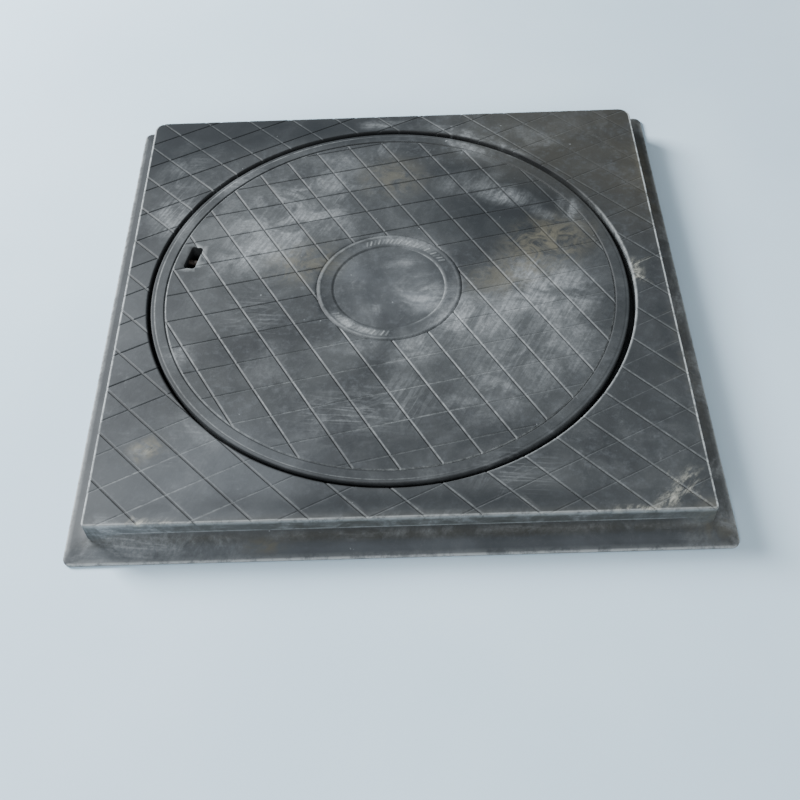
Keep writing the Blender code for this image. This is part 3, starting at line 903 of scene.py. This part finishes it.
def build_screw(number, place):
    """Pan-head screw with a cross recess."""
    seat = -2 * GAP - CUP_WALL
    thread_top = SCREW_BITE - 0.8 * MM
    profile = [(0.0, SCREW_BITE), (0.55 * SCREW_RADIUS, SCREW_BITE)]
    turns = 9
    for turn in range(turns):
        level = mix(thread_top, seat + 1 * MM, turn / turns)
        pitch = (thread_top - seat - 1 * MM) / turns
        profile += [(SCREW_RADIUS, level), (0.78 * SCREW_RADIUS, level - pitch / 2)]
    profile += [(SCREW_RADIUS * 0.9, seat + 1 * MM), (SCREW_RADIUS * 0.9, seat), (SCREW_HEAD_RADIUS, seat)]
    side = 0.8 * MM
    dome = math.radians(80)
    for step in range(SOFT_STEPS + 1):
        angle = step / SOFT_STEPS * dome
        radius = mix(SCREW_HEAD_RADIUS, 0.55 * SCREW_HEAD_RADIUS, 1 - math.cos(angle))
        profile.append((radius, seat - side - (SCREW_HEAD - side) * math.sin(angle) / math.sin(dome)))
    profile.append((0.0, seat - SCREW_HEAD))
    item = add_object("cup_screw_" + str(number), placed(turned(profile, 36), place))
    arm = rounded_box(2.1 * MM, 0.45 * MM, 0.2 * MM, 2)
    cross = []
    for turn in (0.6 * number, 0.6 * number + math.pi / 2):
        shape = prism(arm, seat - SCREW_HEAD - 1 * MM, seat - 1 * MM)
        cross.append(placed(shape, place @ Matrix.Rotation(turn, 4, "Z")))
    return carve(item, cross)


def build_gasket():
    """Rubber ring: rounded bead with a thin lip on each side."""
    low = GASKET_LOW.z
    high = GASKET_HIGH.z
    middle = (GASKET_INNER + GASKET_OUTER) / 2
    lip = low + 1.5 * MM
    bead = 3.4 * MM
    profile = [(GASKET_OUTER, low), (GASKET_INNER, low), (GASKET_INNER, lip), (middle - bead, lip)]
    for step in range(BEAD_STEPS + 1):
        angle = math.pi - step / BEAD_STEPS * math.pi
        profile.append((middle + 0.85 * bead * math.cos(angle), lip + (high - lip) * math.sin(angle)))
    profile += [(middle + bead, lip), (GASKET_OUTER, lip)]
    ring = placed(turned(profile[::-1], CIRCLE_STEPS), Matrix.Translation(LID_CENTRE))
    item = add_object("rubber_ring", ring)
    item.data.shade_smooth()
    item.data.set_sharp_from_angle(angle=SMOOTH_ANGLE)
    return item


# ---- marks painted on the vertices ----
PATCH_START = 0.15                # where a patch starts and ends fading, in its reaches
PATCH_END = 1.35
# Each patch: middle (x, y) and reach along and across in millimetres, turn in degrees, strength in percent.
# Dust patches; those along the skirts are also painted fill light where the skirts lie in shade.
DUST_AND_FILL_LIGHT_PATCHES = (
    (-150, 190, 120, 60, 25, 70), (-185, 115, 85, 60, 10, 65), (-215, 70, 70, 30, 15, 65),
    (-115, 135, 60, 50, 0, 60), (170, 190, 50, 22, -20, 65), (115, 225, 50, 30, 10, 30),
    (115, 312, 50, 10, -28, 70), (235, 140, 40, 14, -40, 30), (215, -12, 80, 62, -20, 90),
    (185, -150, 90, 60, 10, 30), (110, -65, 70, 45, 20, 85), (130, -200, 80, 46, 25, 40),
    (276, 145, 16, 45, 15, 80), (40, -14, 50, 36, -30, 95), (-66, 20, 22, 46, 0, 55),
    (-58, -78, 46, 14, -36, 100), (20, 92, 60, 12, -15, 60), (-40, -112, 34, 22, 0, 70),
    (30, -120, 40, 26, 20, 60), (-305, -120, 24, 20, -40, 85), (-70, -235, 80, 60, 10, 30),
    (-345, 165, 34, 45, 0, 60), (-325, 270, 45, 70, -30, 30), (-20, 372, 34, 12, 0, 60),
    (115, 342, 65, 13, -24, 85), (175, 305, 50, 12, -35, 70), (-290, -265, 70, 45, 20, 35),
    (-60, 300, 70, 26, 12, 40), (-250, 240, 50, 20, 40, 50), (240, -60, 50, 120, 0, 35),
    (10, 45, 30, 14, 20, 50), (-35, -40, 20, 14, 0, 70), (225, 330, 50, 20, -30, 35),
    (-350, -405, 90, 24, 0, 100), (-230, -410, 60, 16, 0, 50), (390, -415, 40, 15, 0, 90),
    (416, -140, 18, 400, 0, 100), (416, -300, 14, 120, 0, 90), (-329, -281, 22, 17, 35, 90),
    (0, -396, 600, 6, 0, 45), (414, -400, 16, 40, 0, 95),
)
STAIN_PATCHES = (
    (230, 80, 80, 55, 30, 95), (165, 15, 70, 40, 20, 65), (-135, 55, 60, 42, 10, 75),
    (0, 240, 55, 50, 0, 55), (-329, -281, 28, 20, 35, 100), (405, 250, 18, 120, 0, 80),
    (405, -150, 18, 200, 0, 45), (410, -400, 50, 24, 0, 60), (-170, -408, 30, 10, 0, 90),
)
WARM_PATCHES = ((330, 290, 260, 200, -40, 85), (416, 0, 18, 560, 0, 50), (0, -397, 600, 8, 0, 70))
# Pale patches; those along the front and right skirts are painted fill light where the skirts lie in shade.
PALE_PATCHES = (
    (-390, -100, 80, 240, 0, 40), (-250, -340, 200, 120, 0, 70), (0, 0, 110, 110, 0, 35),
    (0, -414, 600, 14, 0, 100), (414, -50, 18, 460, 0, 100),
)
DARK_PATCHES = (
    (-200, 370, 280, 70, 0, 100), (-360, 330, 140, 170, 0, 95), (-300, 0, 60, 150, 0, 40),
    (230, -180, 90, 80, 0, 35), (200, 150, 140, 120, 0, 90), (-380, 100, 60, 160, 0, 50),
    (100, 250, 60, 30, 0, 80), (30, 170, 140, 80, 0, 45), (20, -280, 190, 90, 0, 55),
    (-200, -20, 70, 50, 0, 30), (330, -50, 60, 300, 0, 60), (40, -372, 360, 24, 0, 75),
    (-410, -405, 20, 30, 0, 60), (300, 330, 200, 140, 0, 35), (-414, 0, 14, 600, 0, 90),
    (-322, -282, 6, 6, 0, 100), (100, 110, 110, 60, 0, 35), (-340, -200, 90, 240, 0, 30),
    (380, -100, 18, 340, 0, 50),
)
SCUFF_PATCHES = (
    (-205, -50, 45, 40, 0, 90), (-72, -225, 55, 35, 0, 90), (5, -210, 45, 50, 0, 70),
    (150, -330, 60, 40, 0, 80), (-330, 170, 40, 70, 0, 60), (160, -90, 120, 110, 0, 30),
)
SCRAPE_PATCHES = (
    (346, -371, 48, 12, 42, 90), (367, -352, 8, 20, 0, 80), (352, 18, 9, 24, 0, 100),
    (295, -393, 30, 5, 0, 100), (-310, -393, 34, 4, 0, 80), (-329, -281, 16, 12, 35, 35),
)
# Where the painted highlight on the grooves' lit walls is strongest.
BRIGHT_WALLS = ((-50, -120, 300, 210, 0, 100), (-200, 180, 140, 100, 30, 30))
SHADED_GROOVES = (
    (-300, -330, 170, 140, -30, 100), (-380, -50, 40, 300, 0, 80), (-30, 170, 400, 190, 0, 95),
)
DUSTY_GROOVES = ((-300, -330, 170, 130, -30, 60), (-50, -200, 220, 120, 0, 75))
STEEP_FILL = (
    (-200, 350, 300, 90, 0, 50), (20, 190, 200, 120, 0, 35), (330, 310, 240, 140, -45, 85),
    (380, -50, 60, 300, 0, 35), (250, 130, 90, 120, 0, 45),
)
FLAT_FILL = (
    (330, 310, 260, 160, -45, 80), (340, -160, 150, 320, 0, 93), (-290, -335, 170, 120, -30, 85),
    (100, -370, 330, 90, 0, 55), (40, -180, 330, 200, 0, 50), (200, 0, 140, 200, 0, 35),
)
PAINTED = {
    "dust_and_fill_light": DUST_AND_FILL_LIGHT_PATCHES,
    "stain": STAIN_PATCHES,
    "warm": WARM_PATCHES,
    "dark": DARK_PATCHES,
    "scuff": SCUFF_PATCHES,
    "pale": PALE_PATCHES,
}


def patch_value(x, y, patches):
    """How strongly the patches cover a point, from 0 to 1."""
    clear = 1.0
    for middle_x, middle_y, along, across, turn, percent in patches:
        dx = x / MM - middle_x
        dy = y / MM - middle_y
        if max(abs(dx), abs(dy)) > PATCH_END * max(along, across):
            continue
        cosine = math.cos(math.radians(turn))
        sine = math.sin(math.radians(turn))
        reach = math.hypot((cosine * dx + sine * dy) / along, (cosine * dy - sine * dx) / across)
        clear *= 1 - percent / 100 * (1 - ease(reach, PATCH_START, PATCH_END))
    return 1 - clear


def paint(item, values_by_name):
    """Stores named numbers on the vertices."""
    for name, values in values_by_name.items():
        item.data.attributes.new(name, "FLOAT", "POINT").data.foreach_set("value", values)


def turned_sheen(place):
    """Pale wedges on the lid's disc, where its turned surface catches the light."""
    x, y = lid_local(place)
    radius = math.hypot(x, y)
    angle = math.degrees(math.atan2(y, x))
    wedge = max(bell(angle, -32, 38), 0.7 * bell(angle, 150, 42))
    return wedge * ease(radius, 4 * MM, 40 * MM) * (1 - ease(radius, 76 * MM, 80 * MM))


def scrape_value(place):
    """Plaster lies on the top faces only."""
    return patch_value(place.x, place.y, SCRAPE_PATCHES) if place.z > TOP - 5 * MM else 0.0


def paint_marks(item, lines, wear_and_highlight):
    """Lines gives the dirt with painted shade and the painted highlight of the grooves and gaps at a point.
    """
    places = [vert.co.copy() for vert in item.data.vertices]
    marks = {}
    for name, patches in PAINTED.items():
        marks[name] = [patch_value(place.x, place.y, patches) for place in places]
    # The painted highlight of the lid's turned disc joins the pale patches.
    marks["pale"] = [max(turned_sheen(place), pale) for place, pale in zip(places, marks["pale"])]
    marks["scrape"] = [scrape_value(place) for place in places]
    marks["dirt"], marks["shine"] = zip(*[lines(place) for place in places])
    marks["wear_and_highlight"] = [wear_and_highlight(place) for place in places]
    paint(item, marks)


def frame_lines(place):
    if place.z < TOP - 3.5 * MM:
        return 0.0, 0.0
    dirt, shine = grid_marks(place.x, place.y, FRAME_GRID, place.x, place.y)
    bore = bore_distance(place.x, place.y)
    # Painted shade and grime along the bore's edge, left off its lit side.
    shade_and_grime = (1 - ease(bore, 0.5 * MM, 3.5 * MM)) * (1 - lit_side(place))
    return max(dirt, shade_and_grime), shine * ease(bore, 0.0, 2 * MM)


def lit_side(place):
    """1 on the bore's right side, where its edge catches the light and gets a painted highlight, fading to
    0.
    """
    angle = math.atan2(place.y - BORE_CENTRE.y, place.x - BORE_CENTRE.x)
    return ease(math.cos(angle + LIT_HEADING), 0.50, 0.90)


def frame_wear_and_highlights(place):
    """Plate edges rubbed bright, and painted highlights on the bore edge's lit side, the base flange's lip
    and the plate's lower edge.
    """
    x, y, z = place
    inset = plate_inset(x, y)
    high = ease(z, TOP - 4.5 * MM, TOP - 2 * MM)
    if abs(x) > abs(y):
        side = 1.0 if x > 0 else 0.70
    else:
        side = 0.40 if y < 0 else 0.15
    edge = side * high * (1 - ease(inset, 1.6 * MM, 3.2 * MM))
    bore = bore_distance(x, y)
    # Painted highlight on the bore edge's lit side.
    rim = high * (1 - ease(bore, 1.2 * MM, 3.6 * MM)) * lit_side(place) * 0.38
    # Painted highlight on the base flange's lip.
    lip = 0.65 * ease(max(abs(x), abs(y)), BASE - 4 * MM, BASE - 1.0 * MM) * ease(z, 0.5 * MM, 2.5 * MM)
    # Painted highlight along the plate's lower edge, away from the corners.
    under = 0.30 * bell(z, TOP - PLATE_EDGE + 1 * MM, 2 * MM) * (1 - ease(inset, 1 * MM, 3 * MM))
    under *= 1 - ease(min(abs(x), abs(y)), PLATE - 2 * GUSSET, PLATE - GUSSET)
    return max(edge, rim, lip, under)


def outer_side(radius):
    """1 past the slot's middle line, towards the lid's rim, fading to 0 on the other side."""
    return ease(radius, SLOT_RADIUS + 2 * MM, SLOT_RADIUS + 7 * MM)


def lid_lines(place):
    x, y = lid_local(place)
    mouth = slot_distance(x, y)
    # Painted shade on the slot's walls.
    if place.z < TOP - 0.8 * MM and abs(mouth) < 0.5 * MM:
        return 1.0, 0.0
    if place.z < TOP - 5 * MM:
        return 0.0, 0.0
    radius = math.hypot(x, y)
    field = lid_field(radius)
    dirt, shine = grid_marks(x, y, LID_GRID, place.x, place.y)
    across = (radius - RIM_GROOVE) / RING_HALF
    # Painted shade on the left of the medallion's step.
    step = 0.34 * bell(radius, STEP_RADIUS, 3 * MM) * ease(-x, -0.05, 0.04)
    step += 0.22 * bell(radius, MEDALLION, 2 * MM)
    # Painted shade and grime towards the gap round the lid, lighter on the right.
    shade_and_grime = 0.60 * ease(radius, LID_RADIUS - 3.5 * MM, LID_RADIUS - 0.5 * MM)
    shade_and_grime *= 1 - 0.6 * ease(math.cos(math.atan2(y, x)), -0.2, 0.7)
    # Painted shade on the slot's outer lip.
    lip = 0.9 * (1 - ease(mouth, 0.8 * MM, 2.8 * MM)) * outer_side(radius)
    left = ease(-x, -0.15, 0.1)
    # Painted shade on the ledge's left side.
    edge = 0.6 * left * bell(radius, LEDGE_RADIUS + LEDGE_SLOPE, 2 * LEDGE_SLOPE)
    dirt = max(dirt * field, 0.65 * bell(across, 0.4, 0.9), step, shade_and_grime, lip, edge)
    # Painted highlight on the ledge's left side.
    edge = 0.8 * left * bell(radius, LEDGE_RADIUS - LEDGE_SLOPE, 2 * LEDGE_SLOPE)
    return dirt, max(shine * field, 0.8 * bell(across, -0.5, 0.7), edge)


def lid_wear_and_highlights(place):
    x, y = lid_local(place)
    radius = math.hypot(x, y)
    high = ease(place.z, TOP - 4 * MM, TOP - 2 * MM)
    # Painted highlight on the bead's left side.
    bead = 0.22 * bell(radius, BEAD_RADIUS, 2.5 * MM) * ease(-x, -0.03, 0.06)
    # Painted highlight on the slot's inner lip.
    lip = 0.35 * high * bell(slot_distance(x, y), 0.9 * MM, 0.8 * MM) * (1 - outer_side(radius))
    ring = 0.40 * ease(tick_height(x, y), 0.05 * MM, 0.45 * MM)
    angle = math.degrees(math.atan2(y, x))
    smear = max(0.62 * bell(angle, -120, 34), 0.24 * bell(angle, 68, 40))
    smear *= bell(radius, RING_RADIUS, 7 * MM)
    # Painted highlight on the right of the medallion's step.
    step = 0.45 * bell(radius, STEP_RADIUS - 1.4 * MM, 1.5 * MM) * ease(x, 0.02, 0.07)
    return max(bead, lip, ring, step, smear)


# ---- materials ----
class Paint:
    """Short words for building a node material."""

    def __init__(self, name):
        self.surface = bpy.data.materials.new(name)
        self.surface.use_nodes = True
        self.tree = self.surface.node_tree
        self.shader = self.tree.nodes["Principled BSDF"]
        self.place = self.tree.nodes.new("ShaderNodeTexCoord").outputs["Object"]

    def feed(self, socket, value):
        if isinstance(value, bpy.types.NodeSocket):
            self.tree.links.new(value, socket)
        elif socket.type == "RGBA" and len(value) == 3:
            socket.default_value = (*value, 1.0)
        else:
            socket.default_value = value

    def mark(self, name):
        item = self.tree.nodes.new("ShaderNodeAttribute")
        item.attribute_name = name
        return item.outputs["Fac"]

    def calc(self, operation, first, second):
        item = self.tree.nodes.new("ShaderNodeMath")
        item.operation = operation
        self.feed(item.inputs[0], first)
        self.feed(item.inputs[1], second)
        return item.outputs[0]

    def times(self, *factors):
        result = factors[0]
        for factor in factors[1:]:
            result = self.calc("MULTIPLY", result, factor)
        return result

    def span(self, value, low, high, out_low=0.0, out_high=1.0):
        item = self.tree.nodes.new("ShaderNodeMapRange")
        item.interpolation_type = "SMOOTHSTEP"
        for socket, number in zip(item.inputs, (value, low, high, out_low, out_high)):
            self.feed(socket, number)
        return item.outputs[0]

    def streaked(self, heading, fine, long):
        """Coordinates for streaks along a heading; fine and long are scales across and along it."""
        item = self.tree.nodes.new("ShaderNodeMapping")
        item.vector_type = "TEXTURE"
        item.inputs["Rotation"].default_value = (0.0, 0.0, math.radians(heading))
        item.inputs["Scale"].default_value = (1 / long, 1 / fine, 1 / fine)
        self.feed(item.inputs["Vector"], self.place)
        return item.outputs[0]

    def cloud(self, scale, detail, roughness, distortion=0.0, place=None):
        item = self.tree.nodes.new("ShaderNodeTexNoise")
        self.feed(item.inputs["Vector"], place or self.place)
        self.feed(item.inputs["Scale"], scale)
        self.feed(item.inputs["Detail"], detail)
        self.feed(item.inputs["Roughness"], roughness)
        self.feed(item.inputs["Distortion"], distortion)
        return item.outputs["Fac"]

    def blend(self, first, second, share):
        item = self.tree.nodes.new("ShaderNodeMix")
        item.data_type = "RGBA"
        self.feed(item.inputs[0], share)
        self.feed(item.inputs[6], first)
        self.feed(item.inputs[7], second)
        return item.outputs[2]

    def bump(self, height, distance, strength):
        item = self.tree.nodes.new("ShaderNodeBump")
        self.feed(item.inputs["Strength"], strength)
        self.feed(item.inputs["Distance"], distance)
        self.feed(item.inputs["Height"], height)
        return item.outputs[0]

    def finish(self, **values):
        for name, value in values.items():
            self.feed(self.shader.inputs[name.replace("_", " ")], value)
        return self.surface


DARK = (0.018, 0.021, 0.024)
LIGHT = (0.047, 0.052, 0.055)
COOL = (0.077, 0.086, 0.096)
WARM = (0.042, 0.040, 0.031)
DUST_AND_FILL_LIGHT_TONE = (0.262, 0.281, 0.295)
STAIN = (0.106, 0.101, 0.078)
DIRT_AND_SHADE = (0.010, 0.011, 0.012)
WORN_AND_HIGHLIGHT = (0.420, 0.450, 0.460)
PLASTER = (0.520, 0.520, 0.450)


def composite(name, haze_level):
    """Moulded charcoal composite: cloudy tone, streaky dust, stains, rubbed edges, dirty grooves, and
    painted highlights, shade and fill light.
    """
    p = Paint(name)
    tone = p.cloud(7.0, 8.0, 0.62, 0.5)
    color = p.blend(DARK, LIGHT, p.span(tone, 0.28, 0.72))
    # pale tone; on the front and right skirts it is painted fill light, on the lid's disc a painted
    # highlight
    color = p.blend(color, COOL, p.times(p.mark("pale"), p.span(tone, 0.25, 0.60, 0.55, 0.95)))
    blotch = p.cloud(16.0, 8.0, 0.6, 0.8)
    color = p.blend(color, WARM, p.times(p.mark("warm"), p.span(blotch, 0.25, 0.60, 0.45, 1.0)))
    fine = p.cloud(95.0, 6.0, 0.68)
    color = p.blend(color, COOL, p.times(p.span(fine, 0.47, 0.72), 0.40))
    color = p.blend(color, DARK, p.times(p.mark("dark"), p.span(blotch, 0.25, 0.60, 0.60, 1.00)))
    # strokes left by wiping, in three directions
    steep = p.span(p.cloud(1.0, 2.5, 0.55, 0.15, p.streaked(62, 190.0, 14.0)), 0.42, 0.60)
    level = p.span(p.cloud(1.0, 3.0, 0.60, 0.20, p.streaked(-6, 230.0, 12.0)), 0.47, 0.64)
    slant = p.span(p.cloud(1.0, 3.0, 0.60, 0.20, p.streaked(28, 150.0, 22.0)), 0.46, 0.64)
    choose = p.span(p.cloud(5.0, 2.0, 0.5), 0.44, 0.54)
    strokes = p.calc("ADD", p.times(steep, choose), p.times(level, p.span(choose, 0.0, 1.0, 1.0, 0.0)))
    strokes = p.calc("MAXIMUM", strokes, p.times(slant, 0.55))
    # dust, which on the skirts is also painted fill light where they lie in shade
    puffs = p.span(p.cloud(17.0, 10.0, 0.62, 1.0), 0.38, 0.66)
    grain = p.span(p.cloud(210.0, 5.0, 0.72), 0.30, 0.70, 0.45, 1.0)
    swept = p.span(strokes, 0.0, 1.0, 0.60, 1.0)
    dusty_and_lit = p.times(p.mark("dust_and_fill_light"), p.span(puffs, 0.0, 1.0, 0.18, 1.0), grain, swept)
    clear = p.span(p.mark("dark"), 0.0, 1.0, 1.0, 0.1)
    haze = p.times(p.span(p.cloud(10.0, 9.0, 0.62, 0.8), 0.47, 0.74), grain, clear, haze_level)
    wisps = p.span(p.cloud(42.0, 7.0, 0.7, 0.6), 0.55, 0.78)
    haze = p.calc("ADD", haze, p.times(wisps, strokes, clear, 0.22))
    haze = p.calc("ADD", haze, p.times(p.mark("scuff"), p.span(strokes, 0.2, 0.8), grain, 0.24))
    amount = p.calc("MINIMUM", p.calc("ADD", dusty_and_lit, haze), 0.9)
    color = p.blend(color, DUST_AND_FILL_LIGHT_TONE, amount)
    # stains
    soak = p.times(p.mark("stain"), p.span(p.cloud(32.0, 9.0, 0.68, 1.4), 0.36, 0.62), 0.85)
    color = p.blend(color, STAIN, soak)
    # dirt and painted shade in grooves, gaps and the slot
    fading = p.cloud(8.0, 3.0, 0.5)
    packed = p.span(p.cloud(34.0, 6.0, 0.7), 0.30, 0.60, 0.78, 1.0)
    packed = p.times(packed, p.span(fading, 0.40, 0.60, 1.0, 0.80))
    color = p.blend(color, DIRT_AND_SHADE, p.times(p.mark("dirt"), packed))
    # rubbed edges, and painted highlights on lit groove walls and edges, broken up along their length
    dashes = p.cloud(120.0, 6.0, 0.72)
    bright = p.times(p.mark("shine"), p.span(dashes, 0.32, 0.66, 0.04, 0.48))
    bright = p.times(bright, p.span(fading, 0.38, 0.58, 0.35, 1.0))
    worn_and_lit = p.times(p.mark("wear_and_highlight"), p.span(p.cloud(70.0, 7.0, 0.75), 0.36, 0.56, 0.30, 1.0))
    color = p.blend(color, WORN_AND_HIGHLIGHT, p.calc("MAXIMUM", bright, worn_and_lit))
    # plaster scraped on
    flecks = p.span(p.cloud(1.0, 8.0, 0.75, 0.3, p.streaked(48, 75.0, 30.0)), 0.44, 0.66)
    color = p.blend(color, PLASTER, p.times(p.mark("scrape"), flecks, 0.62))
    specks = p.span(p.cloud(90.0, 2.0, 0.5), 0.755, 0.80)
    color = p.blend(color, DUST_AND_FILL_LIGHT_TONE, p.times(specks, 0.5))
    rough = p.span(p.calc("ADD", amount, p.times(fine, 0.3)), 0.0, 0.9, 0.60, 0.88)
    height = p.calc("ADD", p.times(p.cloud(430.0, 4.0, 0.6), 0.5), p.times(strokes, 0.15))
    height = p.calc("ADD", height, p.times(fine, 0.9))
    height = p.calc("ADD", height, p.times(amount, 0.4))
    bumped = p.bump(height, 0.00020, 0.8)
    gloss = p.span(p.mark("dark"), 0.3, 1.0, 0.22, 0.08)
    return p.finish(Base_Color=color, Roughness=rough, Specular_IOR_Level=gloss, Normal=bumped)


def rusty_steel():
    p = Paint("rusty_steel")
    flakes = p.cloud(300.0, 8.0, 0.65, 0.6)
    color = p.blend((0.016, 0.012, 0.010), (0.040, 0.027, 0.020), p.span(flakes, 0.35, 0.65))
    color = p.blend(color, (0.16, 0.15, 0.14), p.span(p.cloud(140.0, 4.0, 0.6), 0.58, 0.70, 0.0, 0.15))
    return p.finish(
        Base_Color=color,
        Roughness=p.span(flakes, 0.3, 0.7, 0.62, 0.9),
        Metallic=0.35,
        Normal=p.bump(flakes, 0.0004, 0.9),
    )


def moulded_plastic():
    p = Paint("black_plastic")
    grain = p.cloud(900.0, 3.0, 0.6)
    dusty_and_lit = p.span(p.cloud(60.0, 7.0, 0.65), 0.48, 0.78)
    color = p.blend((0.012, 0.013, 0.014), (0.040, 0.040, 0.038), dusty_and_lit)
    rough = p.span(dusty_and_lit, 0.0, 1.0, 0.42, 0.8)
    return p.finish(Base_Color=color, Roughness=rough, Normal=p.bump(grain, 0.0001, 0.6))


def zinc_steel():
    p = Paint("zinc_steel")
    bloom = p.cloud(420.0, 6.0, 0.6)
    color = p.blend((0.50, 0.50, 0.49), (0.30, 0.29, 0.25), p.span(bloom, 0.45, 0.70))
    return p.finish(
        Base_Color=color,
        Metallic=0.9,
        Roughness=p.span(bloom, 0.35, 0.70, 0.28, 0.62),
        Normal=p.bump(bloom, 0.00008, 0.5),
    )


def black_rubber():
    p = Paint("black_rubber")
    grain = p.cloud(700.0, 4.0, 0.6)
    chalk = p.span(p.cloud(45.0, 7.0, 0.65), 0.50, 0.78)
    color = p.blend((0.012, 0.012, 0.013), (0.060, 0.060, 0.058), chalk)
    rough = p.span(chalk, 0.0, 1.0, 0.68, 0.92)
    return p.finish(Base_Color=color, Roughness=rough, Normal=p.bump(grain, 0.0001, 0.5))


def dress(piece, surface, body, slot, *nodes):
    """Gives a piece its material and its body, and hides the CAD nodes it stands for; slot is not used."""
    piece.data.materials.clear()
    piece.data.materials.append(surface)
    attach(piece, body)
    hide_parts(*nodes)


# ---- stage ----
CAMERA_PLACE = (0.0229, -1.1275, 1.2103)
CAMERA_TURN = (38.233, 1.618, -0.898)     # degrees: tilt up from straight down, roll, pan
CAMERA_LENS = 49.84                        # mm on a 36 mm wide sensor
FLOOR_HALF = 6.0
FLOOR_TONES = ((0.500, 0.655, 0.780), (0.550, 0.705, 0.825))
# Each light: name, place, size in metres, power in watts, colour.
LIGHTS = (
    ("window_light", (-3.15, 1.95, 2.05), (1.6, 1.6), 600.0, (0.97, 0.99, 1.0)),
    ("front_light", (-0.7, -2.8, 1.7), (2.4, 1.4), 88.0, (0.97, 0.99, 1.0)),
    ("right_light", (2.8, -0.6, 1.0), (2.0, 1.4), 26.0, (1.0, 0.99, 0.96)),
)
ROOM_TONE = (0.80, 0.87, 0.93)
ROOM_STRENGTH = 0.25


def build_stage():
    p = Paint("pale_floor")
    color = p.blend(FLOOR_TONES[0], FLOOR_TONES[1], p.span(p.cloud(2.2, 5.0, 0.5), 0.3, 0.7))
    grain = p.bump(p.cloud(160.0, 4.0, 0.6), 0.0003, 0.25)
    surface = p.finish(Base_Color=color, Roughness=0.85, Normal=grain)
    bm = bmesh.new()
    bmesh.ops.create_grid(bm, x_segments=24, y_segments=24, size=FLOOR_HALF)
    floor = add_object("floor", bm)
    floor.data.materials.append(surface)


def area_light(name, place, size, power, color):
    light = bpy.data.lights.new(name, "AREA")
    light.shape = "RECTANGLE"
    light.size = size[0]
    light.size_y = size[1]
    light.energy = power
    light.color = color
    item = bpy.data.objects.new(name, light)
    item.location = place
    item.rotation_euler = (Vector((0.0, 0.0, 0.0)) - Vector(place)).to_track_quat("-Z", "Y").to_euler()
    bpy.context.scene.collection.objects.link(item)


def build_lights():
    for light in LIGHTS:
        area_light(*light)
    world = bpy.data.worlds.new("pale_room")
    world.use_nodes = True
    background = world.node_tree.nodes["Background"]
    background.inputs["Color"].default_value = (*ROOM_TONE, 1.0)
    background.inputs["Strength"].default_value = ROOM_STRENGTH
    bpy.context.scene.world = world


def build_camera():
    lens = bpy.data.cameras.new("camera")
    lens.lens = CAMERA_LENS
    lens.sensor_width = 36.0
    camera = bpy.data.objects.new("camera", lens)
    camera.location = CAMERA_PLACE
    camera.rotation_euler = [math.radians(turn) for turn in CAMERA_TURN]
    bpy.context.scene.collection.objects.link(camera)
    bpy.context.scene.camera = camera


def main():
    build_camera()
    build_stage()
    build_lights()
    frame_body = build_frame()
    paint_marks(frame_body, frame_lines, frame_wear_and_highlights)
    dress(frame_body, composite("frame_composite", 0.12), "frame", "frame_composite", "frame")
    lid_body = build_lid()
    paint_marks(lid_body, lid_lines, lid_wear_and_highlights)
    dress(lid_body, composite("lid_composite", 0.20), "lid", "lid_composite", "lid")
    dress(build_bar(), rusty_steel(), "lid", "rusty_steel", "lifting_bar")
    dress(build_pocket(), moulded_plastic(), "lid", "black_plastic", "key_pocket")
    zinc = zinc_steel()
    for number, place in enumerate(screw_places(), start=1):
        dress(build_screw(number, place), zinc, "lid", "zinc_steel", "pocket_screw_" + str(number))
    dress(build_gasket(), black_rubber(), "gasket", "black_rubber", "seat_gasket")


main()
